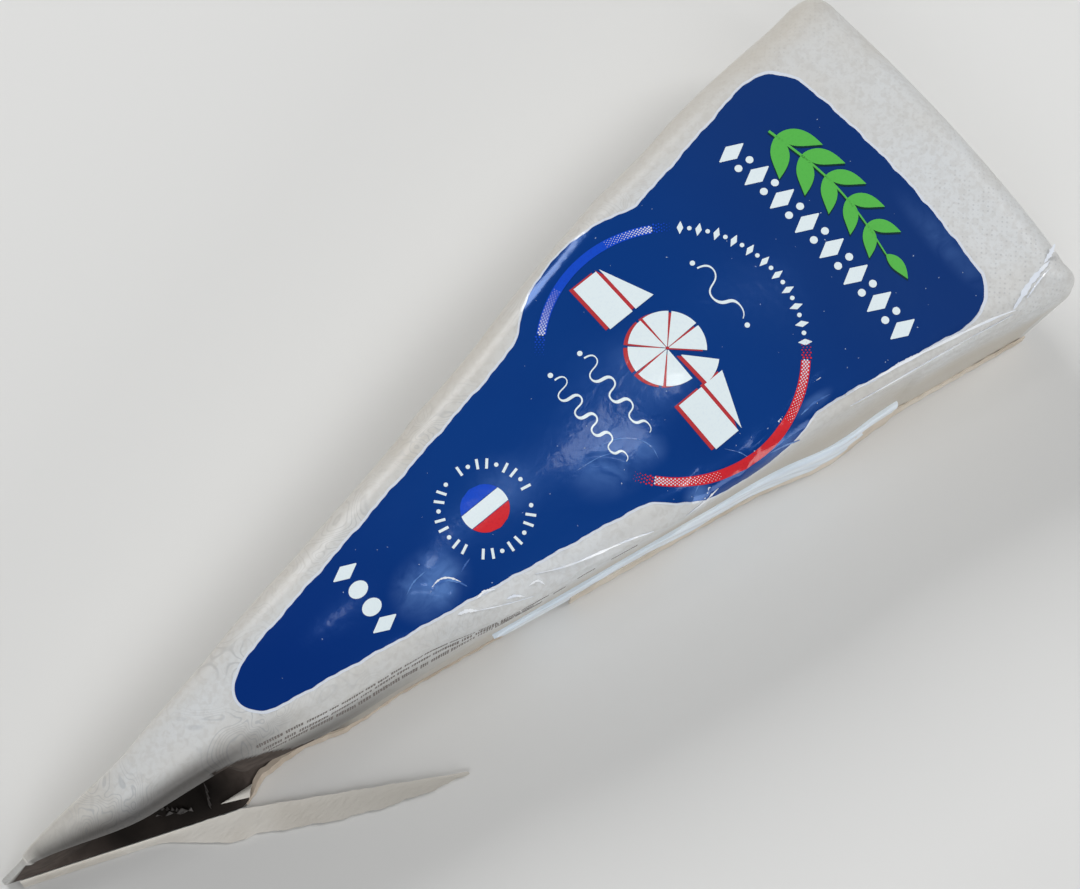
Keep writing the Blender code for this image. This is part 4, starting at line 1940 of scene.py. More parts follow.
    def add_faces(
        self, facets: Facets, top: Array, flat: Array, strip: Array, strip_flat: Array, rows: int
    ) -> None:
        """Adds the top face and the four stretches of the side, each in its own map area.

        Args:
            facets: The mesh that gets the faces.
            top: Point numbers of the top face.
            flat: Flat places of the top face.
            strip: Point numbers of the closed side.
            strip_flat: Flat places of the closed side.
            rows: Number of rows of the top face.
        """
        grid = np.stack(
            np.meshgrid(np.linspace(0, 1, rows), np.linspace(0, 1, top.shape[1]), indexing="ij"), 2
        )
        bake = grid * (0.96, 0.36) + (0.02, 0.62)
        facets.add_grid(top, **{BAKE_MAP: bake, SHEET_MAP: flat / SHEET_UNIT})
        end_one = rows + 2 * self.corner_lines + self.columns + 1
        cuts = (0, rows - 1, end_one, end_one + rows - 1, len(strip) - 1)
        areas = ((0.02, 0.41, 0.96), (0.02, 0.1, 0.5), (0.02, 0.2, 0.96), (0.54, 0.1, 0.3))
        for start, end, (left, low, width) in zip(cuts, cuts[1:], areas):
            part = strip[start : end + 1]
            spots = np.meshgrid(
                np.linspace(0, 1, len(part)), np.linspace(0, 1, part.shape[1]), indexing="ij"
            )
            height = 0.19 if width > 0.9 else 0.09
            bake = np.stack([left + width * spots[0], low + height * (1.0 - spots[1])], axis=2)
            places = strip_flat[start : end + 1] / SHEET_UNIT
            facets.add_grid(part, flip=True, **{BAKE_MAP: bake, SHEET_MAP: places})

    def raise_relief(self, facets: Facets, flat: Array, side_flat: Array, down: Array) -> None:
        """Moves each point along its normal by the sheet's relief, less the print's seat.

        Args:
            facets: The mesh whose points are moved.
            flat: Flat places of the top face.
            side_flat: Flat places of the side.
            down: Share down the wall, from the shoulder's foot to the bottom edge.
        """
        drape = self.drape
        points = np.concatenate(facets.points)
        quads = np.concatenate(facets.quads)
        across = points[quads[:, 2]] - points[quads[:, 0]]
        along = points[quads[:, 3]] - points[quads[:, 1]]
        facing = np.cross(across, along)
        normal = np.zeros_like(points)
        for corner in range(4):
            np.add.at(normal, quads[:, corner], facing)
        normal /= np.maximum(np.linalg.norm(normal, axis=1, keepdims=True), 1e-9)
        places = np.concatenate([flat.reshape(-1, 2), side_flat.reshape(-1, 2)])
        u, w = places[:, 0], places[:, 1]
        height = drape.relief.height(drape.shape, u, w)
        height -= self.sink * ease(0.45, 1.3, self.outline.inside(u, w))
        beyond = u > drape.shape.rind_x - 1.0
        height += np.where(beyond, self.end_fold(u, w), 0.0)
        keep = np.concatenate([np.ones(flat[..., 0].size), 1.0 - ease(0.9, 1.0, down.ravel())])
        moved = points[: len(places)] + normal[: len(places)] * (height * keep)[:, None]
        facets.points = [moved, points[len(places) :]]


@dataclass
class FieldPrint:
    """The blue field, its pale edge and the motifs printed on it."""

    drape: Drape
    outline: FieldOutline
    palette: Palette
    rows: int = 300
    columns: int = 84
    ring_centre: Span = (130.0, -2.3)
    ring_radius: float = 20.2
    ring_width: float = 1.45
    wheel_radius: float = 5.9
    wheel_slices: int = 8
    wheel_gap: float = 0.12
    wheel_open: int = 6
    wheel_drawn: float = 2.2
    wedge_near: float = 7.9
    wedge_length: float = 8.6
    blue_arc: Span = (1.02, 2.3)
    red_arc: Span = (-0.76, -2.42)
    band_step: float = 0.5
    dot_pitch: float = 0.4
    dot_columns: int = 8
    dot_rows: Spot = (-0.55, 0.0, 0.55)
    dot_stagger: float = 0.2
    dot_radius: float = 0.19
    screen_pitch: float = 0.3
    screen_odd: tuple[float, ...] = (-0.46, 0.0, 0.46)
    screen_even: tuple[float, ...] = (-0.23, 0.23)
    screen_radius: Span = (0.05, 0.1)
    bead_arc: Span = (0.8, -0.62)
    beads_count: int = 21
    emblem_centre: Span = (129.6, -1.4)
    emblem_shadow: Span = (-0.62, 0.3)
    strokes: tuple[tuple[Span, float, float, float], ...] = (
        ((119.0, 5.6), 15.2, 1.5, 3.5),
        ((113.4, 5.9), 16.6, 1.5, 4.5),
        ((141.6, 5.4), 10.6, 1.9, 1.5),
    )
    drops: tuple[Span, ...] = ((119.0, 6.6), (113.4, 6.9), (141.6, 6.5), (141.4, -6.4))
    drop_radius: float = 0.42
    border_start: Span = (158.4, 16.4)
    border_run: Span = (0.9, -38.4)
    border_bow: float = 0.5
    border_count: int = 15
    border_pair: Span = (-1.15, 1.15)
    stem_start: Span = (165.3, 15.4)
    stem_run: float = 27.0
    stem_bow: float = 1.5
    leaf_pairs: int = 5
    leaf_lean: float = 0.66
    leaf_shadow: Span = (-0.22, -0.2)
    badge_centre: Span = (92.6, -2.6)
    badge_radius: float = 3.7
    badge_bands: tuple[tuple[float, float, str], ...] = (
        (-1.0, -0.36, "bright_blue"),
        (-0.33, 0.33, "white"),
        (0.36, 1.0, "red"),
    )
    badge_ring: float = 6.9
    badge_count: int = 30
    nose_places: tuple[float, ...] = (3.4, 0.1, -3.2, -6.3)
    nose_marks_u: float = 70.6
    ink_depth: float = 0.06
    screen_reach: float = 0.3
    base_low: float = -0.12
    field_low: float = -0.02
    edge_level: float = 0.035
    field_level: float = 0.07
    first_level: float = 0.13
    second_level: float = 0.18

    def put(self, name: str, grids: list[Array], level: float, material: object) -> bpy.types.Object:
        """Lays one motif's layers and gives them their ink."""
        return self.drape.layer(name, grids, level - self.ink_depth, level, material)

    def build_field(self) -> list[bpy.types.Object]:
        """The blue field over a slightly larger pale one.

        Returns:
            The pale edge and the blue field.
        """
        grown = self.outline.grid(220, 60, 0.42)
        field_grid = self.outline.grid(self.rows, self.columns)
        halo, blue = self.palette.halo, self.palette.blue
        return [
            self.drape.layer("print_edge", [grown], self.base_low, self.edge_level, halo),
            self.drape.layer("print_field", [field_grid], self.field_low, self.field_level, blue),
        ]

    def on_ring(self, turn: float, out: float) -> Span:
        """Flat place at an angle round the ring, moved outwards from its middle line.

        Args:
            turn: Angle round the ring.
            out: Distance outwards.

        Returns:
            The place.
        """
        radius = self.ring_radius + out
        spot = np.add(self.ring_centre, (radius * math.cos(turn), radius * math.sin(turn)))
        return (float(spot[0]), float(spot[1]))

    def ring_band(self, start: float, end: float) -> list[Array]:
        """One arc of the ring, which breaks up into dots of its colour at both ends.

        Args:
            start: Angle where the arc starts.
            end: Angle where it ends.

        Returns:
            Its flat places, layer by layer.
        """
        steps = int(abs(end - start) * self.ring_radius / self.band_step)
        path = arc(self.ring_radius, start, end, steps)
        grids = [turned(ribbon(path, np.full(steps + 1, self.ring_width), 3), self.ring_centre)]
        way = np.sign(end - start)
        for tip, outward in ((start, -way), (end, way)):
            for number in range(1, self.dot_columns + 1):
                turn = tip + outward * number * self.dot_pitch / self.ring_radius
                size = self.dot_radius * (1.0 - number / 10.0)
                for row in self.dot_rows:
                    spot = self.on_ring(turn, row + self.dot_stagger * (number % 2))
                    grids.append(turned(disc(size, 2), spot, turn))
        return grids

    def ring_screen(self, start: float, end: float) -> list[Array]:
        """White dots over one arc, in staggered columns, which grow towards both ends.

        Args:
            start: Angle where the arc starts.
            end: Angle where it ends.

        Returns:
            Its flat places, layer by layer.
        """
        grids = []
        count = int(abs(end - start) * self.ring_radius / self.screen_pitch)
        for number in range(count + 1):
            share = number / count
            edge = 1.0 - min(share, 1.0 - share) / self.screen_reach
            if edge <= 0.0:
                continue
            turn = start + (end - start) * share
            least, extra = self.screen_radius
            for out in self.screen_odd if number % 2 else self.screen_even:
                grids.append(turned(disc(least + extra * edge, 2), self.on_ring(turn, out), turn))
        return grids

    def beads(self) -> list[Array]:
        """White beads along the open part of the ring: lozenges with dots between them.

        Returns:
            Its flat places, layer by layer.
        """
        grids = []
        for number, turn in enumerate(np.linspace(*self.bead_arc, self.beads_count)):
            bead = lozenge(2.1, 0.95) if number % 2 == 0 else disc(0.36, 3)
            grids.append(turned(bead, self.on_ring(turn, 0.0), turn))
        return grids

    def build_ring(self) -> list[bpy.types.Object]:
        """Two coloured arcs, the white dots over them, and the beads.

        Returns:
            The pieces.
        """
        ink, first = self.palette, self.first_level
        screen = self.ring_screen(*self.blue_arc) + self.ring_screen(*self.red_arc)
        return [
            self.put("ring_blue", self.ring_band(*self.blue_arc), first, ink.bright_blue),
            self.put("ring_red", self.ring_band(*self.red_arc), first, ink.red),
            self.put("ring_dots", screen, self.second_level, ink.pale_screen),
            self.put("ring_beads", self.beads(), first, ink.white),
        ]

    def wheel(self) -> list[Array]:
        """A round cheese from above, cut in sectors, with one slice drawn out.

        Returns:
            Its flat places, layer by layer.
        """
        grids = []
        step = 2.0 * math.pi / self.wheel_slices
        for number in range(self.wheel_slices):
            middle = step * (number + 0.5)
            drawn = self.wheel_drawn if number == self.wheel_open else self.wheel_gap
            shift = (drawn * math.cos(middle), drawn * math.sin(middle))
            rim = arc(self.wheel_radius, middle - 0.46 * step, middle + 0.46 * step, 8)
            grids.append(between(0.03 * rim, rim, 5) + shift)
        return grids

    def small_wedge(self, side: float) -> list[Array]:
        """A slice beside the wheel, seen from its side: a pointed top face over a plain band.

        Args:
            side: 1 for the far side of the wheel and -1 for the near side.

        Returns:
            Its flat places, layer by layer.
        """
        share = np.linspace(0.0, 1.0, 14)[:, None]
        run = side * (self.wedge_near + self.wedge_length * share)
        level = 0.0 * share
        top = between(
            np.hstack([level + 0.5, run]), np.hstack([0.5 + 3.6 * (1.0 - share), run]), 5
        )
        band = between(np.hstack([level - 4.6, run]), np.hstack([level - 0.1, run]), 5)
        return [top, band]

    def build_emblem(self) -> list[bpy.types.Object]:
        """Wheel and wedges in white, over a red copy moved down and sideways.

        Returns:
            The red copy and the white shapes.
        """
        shapes = self.wheel() + self.small_wedge(1.0) + self.small_wedge(-1.0)
        white = [turned(left_turning(grid), self.emblem_centre) for grid in shapes]
        red = [grid + np.array(self.emblem_shadow) for grid in white]
        return [
            self.put("emblem_shadow", red, self.first_level, self.palette.shadow_red),
            self.put("emblem_white", white, self.second_level, self.palette.white),
        ]

    def swash(self, start: Span, run: float, height: float, waves: float) -> list[Array]:
        """A flourish: a wave that dies away, drawn with a pen that presses on its down strokes.

        Args:
            start: Where it starts.
            run: How far it runs towards the near side.
            height: How far it swings.
            waves: How many times it swings.

        Returns:
            Its flat places, layer by layer.
        """
        share = np.linspace(0.0, 1.0, 90)
        swing = height * np.sin(2.0 * math.pi * waves * share) * (1.0 - 0.55 * share)
        curl = 0.5 * height * np.sin(4.0 * math.pi * waves * share)
        path = np.stack([start[0] + swing, start[1] - run * share + 0.32 * curl], axis=1)
        press = 0.26 + 0.3 * np.clip(np.cos(2.0 * math.pi * waves * share), 0.0, 1.0)
        return [ribbon(path, press * np.sin(math.pi * np.clip(share, 0.03, 0.97)) ** 0.3, 2)]

    def build_flourishes(self) -> bpy.types.Object:
        """Three white pen strokes beside the emblem, ending in small drops.

        Returns:
            The piece.
        """
        grids = []
        for start, run, height, waves in self.strokes:
            grids += self.swash(start, run, height, waves)
        grids += [turned(disc(self.drop_radius, 3), spot) for spot in self.drops]
        return self.put("flourishes", grids, self.first_level, self.palette.white)

    def build_border(self) -> bpy.types.Object:
        """A border across the rind end: white lozenges between pairs of dots.

        Returns:
            The piece.
        """
        grids = []
        (start_u, start_w), (run_u, run_w) = self.border_start, self.border_run
        for number, share in enumerate(np.linspace(0.0, 1.0, self.border_count)):
            bow = self.border_bow * math.sin(math.pi * share)
            spot = (start_u + run_u * share + bow, start_w + run_w * share)
            if number % 2 == 0:
                grids.append(turned(lozenge(4.9, 2.5), spot))
                continue
            for step in self.border_pair:
                grids.append(turned(disc(0.62, 4), (spot[0] + step, spot[1])))
        return self.put("border_marks", grids, self.first_level, self.palette.white)

    def build_sprig(self) -> list[bpy.types.Object]:
        """A green sprig with leaves in pairs, each with a dark edge below it.

        Returns:
            The dark copy and the green sprig.
        """
        share = np.linspace(0.0, 1.0, 60)
        bow = self.stem_bow * np.sin(math.pi * share)
        stem = join(self.stem_start[0] + bow, self.stem_start[1] - self.stem_run * share)
        leaves = [ribbon(stem, 0.42 - 0.2 * share, 2)]
        for number in range(self.leaf_pairs):
            spot = stem[3 + number * 11]
            for way in (-1.0, 1.0):
                grid = left_turning(leaf(7.4 - 0.5 * number, 2.9 - 0.2 * number))
                leaves.append(turned(grid, tuple(spot), -RIGHT_ANGLE + way * self.leaf_lean))
        leaves.append(turned(leaf(5.0, 1.9), tuple(stem[-1]), -RIGHT_ANGLE))
        shadow = [grid + np.array(self.leaf_shadow) for grid in leaves]
        return [
            self.put("sprig_shadow", shadow, self.first_level, self.palette.deep_green),
            self.put("sprig_leaves", leaves, self.second_level, self.palette.green),
        ]

    def stripe(self, radius: float, low: float, high: float) -> Array:
        """Part of a disc between two upright chords.

        Args:
            radius: Radius of the disc.
            low: Place of the first chord.
            high: Place of the second chord.

        Returns:
            Its flat places.
        """
        across = np.linspace(low, high, 7)
        reach = np.sqrt(np.maximum(radius**2 - across**2, 0.02))
        lower = np.stack([-reach, -across], axis=1)
        upper = np.stack([reach, -across], axis=1)
        return left_turning(between(lower, upper, 8))

    def build_badge(self) -> list[bpy.types.Object]:
        """A round badge in three stripes, in a circle of small white strokes and dots.

        Returns:
            The pieces.
        """
        centre, radius, first = self.badge_centre, self.badge_radius, self.first_level
        pieces = []
        for low, high, ink in self.badge_bands:
            grid = turned(self.stripe(radius, low * radius, high * radius), centre)
            pieces.append(self.put(f"badge_{ink}", [grid], first, getattr(self.palette, ink)))
        stroke = ribbon(straight((-0.8, 0.0), (0.8, 0.0), 4), np.full(5, 0.42))
        grids = []
        for number in range(self.badge_count):
            turn = 2.0 * math.pi * number / self.badge_count
            if number % 10 == 8:
                continue
            out = (self.badge_ring * math.cos(turn), self.badge_ring * math.sin(turn))
            mark = disc(0.34, 3) if number % 3 == 0 else stroke
            grids.append(turned(mark, tuple(np.add(centre, out)), turn))
        pieces.append(self.put("badge_marks", grids, first, self.palette.white))
        return pieces

    def build_nose_marks(self) -> bpy.types.Object:
        """Four white marks in a row near the nose end of the field.

        Returns:
            The piece.
        """
        grids = []
        for number, w in enumerate(self.nose_places):
            spot = (self.nose_marks_u - 0.1 * number, w)
            mark = lozenge(4.3, 2.2) if number in (0, 3) else disc(1.25, 6, 1.25)
            grids.append(turned(mark, spot))
        return self.put("nose_marks", grids, self.first_level, self.palette.white)

    def build(self) -> list[bpy.types.Object]:
        """All prints of the field.

        Returns:
            The pieces.
        """
        pieces = self.build_field() + self.build_ring() + self.build_emblem()
        pieces += self.build_sprig() + self.build_badge()
        return pieces + [self.build_flourishes(), self.build_border(), self.build_nose_marks()]


def left_turning(grid: Array) -> Array:
    """Swaps a grid's columns where its rows and columns would turn right.

    Args:
        grid: The grid.

    Returns:
        The grid, turning left.
    """
    rows = grid[1:, :-1] - grid[:-1, :-1]
    columns = grid[:-1, 1:] - grid[:-1, :-1]
    turn = (rows[..., 0] * columns[..., 1] - rows[..., 1] * columns[..., 0]).sum()
    return grid if turn > 0.0 else grid[:, ::-1]


@dataclass
class SideMarks:
    """Rows of tiny dark strokes along the near side, and pale dust flecks under the film."""

    drape: Drape
    palette: Palette
    outline: FieldOutline
    rows: int = 3
    start_x: float = 44.6
    line_stations: tuple[float, ...] = (
        43.0, 51.6, 59.2, 68.0, 77.6, 84.0, 92.0, 113.0, 138.0
    )
    line_places: tuple[float, ...] = (
        -7.9, -10.2, -13.0, -14.8, -17.6, -18.4, -21.0, -24.4, -28.8
    )
    tall: tuple[float, ...] = (0.66, 0.74, 0.94)
    pitch: float = 2.1
    row_ends: Spot = (136.0, 104.0, 88.0)
    thins_out_x: Span = (84.0, 98.0)
    flecks: int = 90
    dash: Span = (0.16, 0.36)
    dash_gap: float = 0.16
    word_gap: Span = (0.25, 0.5)
    fleck_u: Span = (52.0, 173.0)
    fleck_w: Span = (-26.0, 22.0)
    fleck_size: Span = (0.03, 0.075)
    seed: int = 11

    def build_rows(self) -> bpy.types.Object:
        """Short strokes in groups like words, thinning out towards the rind.

        Returns:
            The piece.
        """
        pick = np.random.default_rng(self.seed)
        grids = []
        for row in range(self.rows):
            u = self.start_x + 0.5 * row
            while u < self.row_ends[row]:
                shown = pick.random() > 0.82 * float(ease(*self.thins_out_x, np.array(u)))
                for _ in range(pick.integers(4, 12)):
                    long = pick.uniform(*self.dash)
                    tall = self.tall[row] * pick.uniform(0.7, 1.1)
                    ends = np.array((u, u + long))
                    places = np.interp(ends, self.line_stations, self.line_places)
                    if shown:
                        path = join(ends, places - self.pitch * row)
                        grids.append(ribbon(path, np.full(2, tall), 1))
                    u += long + self.dash_gap
                u += pick.uniform(*self.word_gap)
        return self.drape.layer("side_print_rows", grids, -0.02, 0.06, self.palette.small_print)

    def build_flecks(self) -> bpy.types.Object:
        """Flecks scattered over the blue field, each a tiny four-sided grain.

        Returns:
            The piece.
        """
        pick = np.random.default_rng(self.seed + 1)
        grids = []
        while len(grids) < self.flecks:
            u, w = pick.uniform(*self.fleck_u), pick.uniform(*self.fleck_w)
            if self.outline.inside(np.array(u), np.array(w)) < 0.6:
                continue
            size = pick.uniform(*self.fleck_size)
            grids.append(turned(disc(size, 2, pick.uniform(1.0, 2.2)), (u, w), pick.uniform(0, 3)))
        return self.drape.layer("dust_flecks", grids, 0.05, 0.12, self.palette.fleck)


@dataclass
class ClosingStrip:
    """Glossy strip that closes the wrap along the foot of the near side; its near-white blue tone is
    partly the film's own pale colour and partly a painted reflection.
    """

    drape: Drape
    palette: Palette
    start_x: float = 83.0
    opens_x: Span = (82.6, 88.5)
    end_x: float = 157.0
    low_z: float = 1.4
    top_stations: tuple[float, ...] = (83.0, 118.0, 140.0, 157.0)
    top_heights: tuple[float, ...] = (13.0, 13.0, 11.4, 9.4)
    slant: float = 1.6
    rows: int = 230
    columns: int = 34
    top_waves: Waves = ((0.28, 31.0, 0.8), (0.1, 9.0, 0.1))
    face_waves: Waves = ((0.07, 17.0, 0.3), (0.05, 7.0, 1.9))

    def build(self) -> bpy.types.Object:
        """Lays the strip over the side: a pointed start, a wavy upper edge and a slanted end.

        Returns:
            The piece.
        """
        shape = self.drape.shape
        x = np.linspace(self.start_x, self.end_x, self.rows + 1)[:, None]
        up = np.linspace(0.0, 1.0, self.columns + 1)[None, :]
        top = np.interp(x, self.top_stations, self.top_heights) + ripple(x, self.top_waves)
        z = top - (top - self.low_z) * (1.0 - up) * ease(*self.opens_x, x)
        u = x + self.slant * (up - 0.5) * ease(self.end_x - 3.0, self.end_x, x)
        w = shape.near_flat(u, z)
        grid = join(u, w)
        rounding = np.sqrt(np.maximum(1.0 - (2.0 * up - 1.0) ** 6, 0.04))
        swell = 0.3 + 0.5 * rounding + ripple(u + 2.0 * z, self.face_waves)
        front = self.drape.surface(grid[..., 0], grid[..., 1], swell)
        back = self.drape.surface(grid[..., 0], grid[..., 1], -0.1)
        sheets = [(front, back, grid)]
        return self.drape.shells("closing_strip_film", sheets, self.palette.strip)


@dataclass
class FilmRidgeHighlights:
    """Thin raised ridges along the film's creases, coloured near white over the paper and light blue
    over the field as painted highlights.
    """

    drape: Drape
    palette: Palette
    level: float = 0.12
    pale_lines: tuple[tuple[float, tuple[Span, ...]], ...] = (
        (0.3, ((92.0, -14.9), (96.5, -17.2), (101.6, -18.7), (106.0, -19.9), (110.0, -21.5))),
        (0.4, ((83.0, -12.2), (84.6, -12.0), (86.0, -12.9))),
        (0.34, ((86.4, -15.0), (87.6, -15.3), (88.8, -16.4))),
        (0.3, ((90.2, -15.6), (91.8, -15.8), (92.2, -17.0))),
        (0.5, ((79.4, -12.2), (80.8, -12.6), (82.0, -13.6))),
        (0.16, ((81.6, -13.4), (86.0, -15.6), (90.0, -17.6))),
        (0.34, ((147.0, -24.3), (156.4, -26.0), (164.4, -27.9), (171.2, -29.6), (175.0, -30.8))),
        (0.26, ((145.6, -26.5), (155.6, -28.1), (163.2, -29.6), (170.4, -30.8), (174.4, -31.2))),
        (0.75, ((174.8, -30.5), (178.0, -29.4), (181.2, -28.8), (184.0, -28.5))),
        (0.6, ((183.2, -28.2), (185.0, -27.7), (186.6, -27.0))),
        (0.2, ((177.4, -30.4), (180.0, -29.8), (183.4, -29.4))),
        (0.3, ((115.4, -23.2), (118.6, -22.8), (121.6, -22.6))),
        (0.26, ((79.0, -6.7), (80.6, -6.4), (82.0, -7.2), (82.8, -8.8))),
    )
    blue_lines: tuple[tuple[float, tuple[Span, ...]], ...] = (
        (0.14, ((117.2, -21.4), (118.8, -20.5), (120.6, -20.0))),
        (0.3, ((131.0, -23.4), (134.0, -24.2), (136.4, -25.8))),
        (0.3, ((138.4, -22.1), (141.2, -21.9), (144.0, -22.5))),
        (0.12, ((126.0, -18.6), (127.4, -20.4), (128.0, -22.0))),
        (0.2, ((75.4, -5.2), (77.4, -4.3), (80.0, -4.3))),
        (0.45, ((78.2, -7.2), (79.8, -6.5), (82.2, -7.7), (83.1, -9.9))),
        (0.24, ((83.8, -7.7), (84.8, -7.3), (86.0, -7.0))),
        (0.2, ((112.0, -6.4), (114.6, -7.0), (117.0, -9.0), (118.0, -11.4), (117.4, -13.4))),
        (0.16, ((106.8, -7.0), (111.2, -7.6), (114.4, -9.5))),
    )
    steps: int = 40

    def line(self, width: float, stops: tuple[Span, ...]) -> Array:
        """A ribbon through the stops, on a smooth curve, that tapers at both ends.

        The stops are joined by straight runs, which four passes of averaging make round, and
        the width follows the square root of a sine, with a ripple like crumpled film.

        Args:
            width: Its full width.
            stops: Places that it runs past.

        Returns:
            Its flat places.
        """
        given = np.array(stops)
        at = np.linspace(0.0, len(given) - 1.0, self.steps + 1)
        stops_at = np.arange(len(given))
        path = join(np.interp(at, stops_at, given[:, 0]), np.interp(at, stops_at, given[:, 1]))
        for _ in range(4 * self.steps // len(given)):
            path[1:-1] = (path[:-2] + 2.0 * path[1:-1] + path[2:]) / 4.0
        share = np.linspace(0.0, 1.0, self.steps + 1)
        taper = np.sqrt(np.sin(math.pi * np.clip(share, 0.004, 0.996)))
        crumple = 1.0 + 0.22 * np.sin(23.0 * share + 9.0 * width) + 0.16 * np.sin(51.0 * share)
        return ribbon(path, width * taper * crumple, 2)

    def build(self) -> list[bpy.types.Object]:
        """The ridges over pale paper, painted near white, and those over the blue, painted a lighter
        blue: both are painted highlights.

        Returns:
            The pieces.
        """
        pieces = []
        for name, lines, material in (
            ("film_ridges_painted_highlight", self.pale_lines, self.palette.crease_highlight),
            ("film_ridges_painted_highlight_on_blue", self.blue_lines, self.palette.blue_crease_highlight),
        ):
            grids = [self.line(width, stops) for width, stops in lines]
            pieces.append(self.drape.layer(name, grids, 0.0, self.level, material))
        return pieces


@dataclass
class BottomSheet:
    """Edges of the bottom sheet: the loose ear, the lip, its fold, and the hem by the strip."""

    drape: Drape
    palette: Palette
    ear_start_x: float = 2.6
    ear_end_x: float = 67.2
    bend_x: float = 36.0
    ear_slope: float = -0.598
    ear_width: float = 4.9
    widens_x: Span = (22.0, 33.0)
    taper_x: float = 44.0
    stem_width: float = 1.2
    gap: float = 0.12
    paper: float = 0.22
    lip_start_x: float = 37.2
    lip_end_x: float = 86.0
    lip_thick: float = 0.85
    hem_stations: tuple[float, ...] = (97.0, 112.0, 118.0, 140.0, 146.0, 157.0, 161.0, 184.0)
    hem_heights: tuple[float, ...] = (5.5, 5.0, 1.8, 1.8, 8.0, 6.2, 3.0, 2.6)
    hem_out: Span = (1.05, 0.4)
    hem_leaves_x: Span = (156.5, 159.5)
    hem_thick: float = 0.3
    fold_tip: Spot = (34.2, -6.8, 2.5)
    fold_end: Spot = (39.1, -8.25, 2.9)
    fold_spread: Spot = (1.6, 1.3, 0.5)
    fold_rise: float = 0.5
    ear_outer_waves: Waves = ((0.14, 7.0, 0.5), (0.07, 2.7, 1.0), (0.03, 1.1, 0.0))
    ear_inner_waves: Waves = ((0.05, 5.1, 0.9), (0.03, 1.7, 0.0))
    ear_least: float = 0.12
    ear_swell: float = 0.12
    ear_swell_run: float = 7.0
    ear_rise: float = 0.35
    ear_rises_x: Span = (34.0, 66.0)
    ear_curl: float = 0.22
    ear_curl_run: float = 5.5
    ear_curls_x: Span = (28.0, 44.0)
    ear_edge: float = 0.3
    ear_edge_falls_x: Span = (40.0, 64.0)
    ear_crumple: float = 0.02
    lip_least: float = 0.8
    lip_rise: float = 2.0
    lip_fall: float = 1.9
    lip_falls_x: Span = (50.0, 64.0)
    lip_top_waves: Waves = ((0.12, 6.3, 0.2), (0.05, 2.3, 0.0))
    lip_foot: float = 0.05
    lip_lean: float = 0.3
    lip_leans_by_x: float = 42.0
    lip_upright_x: Span = (56.0, 66.0)
    lip_side_waves: Waves = ((0.07, 4.1, 0.5), (0.04, 1.9, 0.2))
    lip_outside: float = 0.22
    hem_foot: float = 0.08
    hem_top_waves: Waves = ((0.18, 5.3, 0.2), (0.1, 2.1, 0.9))
    hem_side_waves: Waves = ((0.05, 3.7, 0.0),)

    def ear_plan(self, x: Array) -> tuple[Array, Array]:
        """Both edges of the ear: a narrow stem, a bend, and a long pointed end.

        Args:
            x: Places along the slice.

        Returns:
            Coordinate y of the inner edge and of the outer edge.
        """
        shape = self.drape.shape
        bent = (self.ear_slope - shape.stem_slope) * np.maximum(0.0, x - self.bend_x)
        inside = shape.stem_y(x) + bent - self.gap
        past = np.clip((x - self.taper_x) / (self.ear_end_x - self.taper_x), 0.0, 1.0)
        spread = (self.ear_width - self.stem_width) * ease(*self.widens_x, x) * (1.0 - past**1.5)
        return inside, inside - self.stem_width * (1.0 - 0.8 * past**4) - spread

    def build_ear(self) -> bpy.types.Object:
        """The ear as thin paper lying in shallow waves, with a softly torn edge.

        Returns:
            The piece.
        """
        x = np.linspace(self.ear_start_x, self.ear_end_x, 241)
        inside, outside = self.ear_plan(x)
        wide = ease(*self.widens_x, x)
        outside = outside + wide * ripple(x, self.ear_outer_waves)
        inside = inside + wide * ripple(x, self.ear_inner_waves)
        across = np.linspace(0.0, 1.0, 25)[None, :]
        y = outside[:, None] + (inside - outside)[:, None] * across
        along = x[:, None]
        lift = self.ear_least + self.ear_swell * np.sin(along / self.ear_swell_run) ** 2
        lift = lift + self.ear_rise * ease(*self.ear_rises_x, along)
        curl = self.ear_curl * (1.0 - across) ** 2 * ease(*self.ear_curls_x, along)
        curl = curl * np.sin(along / self.ear_curl_run) ** 2
        edge = self.ear_edge * across**6 * (1.0 - 0.5 * ease(*self.ear_edge_falls_x, along))
        z = lift + curl + edge + self.ear_crumple * np.sin(along * 1.3 + 3.0 * across)
        grid = join(along, y)
        top = join(along, y, z + self.paper)
        under = join(along, y, z)
        return self.drape.shells("loose_ear", [(top, under, grid)], self.palette.flap, 60.0)

    def build_lip(self) -> bpy.types.Object:
        """Cut edge of the bottom sheet, standing up a little along the foot of the near side.

        Returns:
            The piece.
        """
        shape = self.drape.shape
        x = np.linspace(self.lip_start_x, self.lip_end_x, 240)[:, None]
        up = np.linspace(0.0, 1.0, 9)[None, :]
        rise = self.lip_rise * ease(self.lip_start_x - 0.5, self.lip_start_x + 4.0, x)
        high = self.lip_least + rise
        high = high - self.lip_fall * ease(*self.lip_falls_x, x) + ripple(x, self.lip_top_waves)
        z = self.lip_foot + (high - self.lip_foot) * up
        lean = self.lip_lean * up**2 * ease(self.lip_start_x, self.lip_leans_by_x, x)
        lean = lean * (1.0 - ease(*self.lip_upright_x, x))
        waves = ripple(x, self.lip_side_waves)
        outer = shape.near_base_y(x) - self.lip_outside + lean + waves
        grid = join(x, outer)
        front = join(x, outer, z)
        back = join(x, outer + self.lip_thick, z)
        sheets = [(front, back, grid)]
        return self.drape.shells("bottom_lip", sheets, self.palette.cut_edge, 40.0)

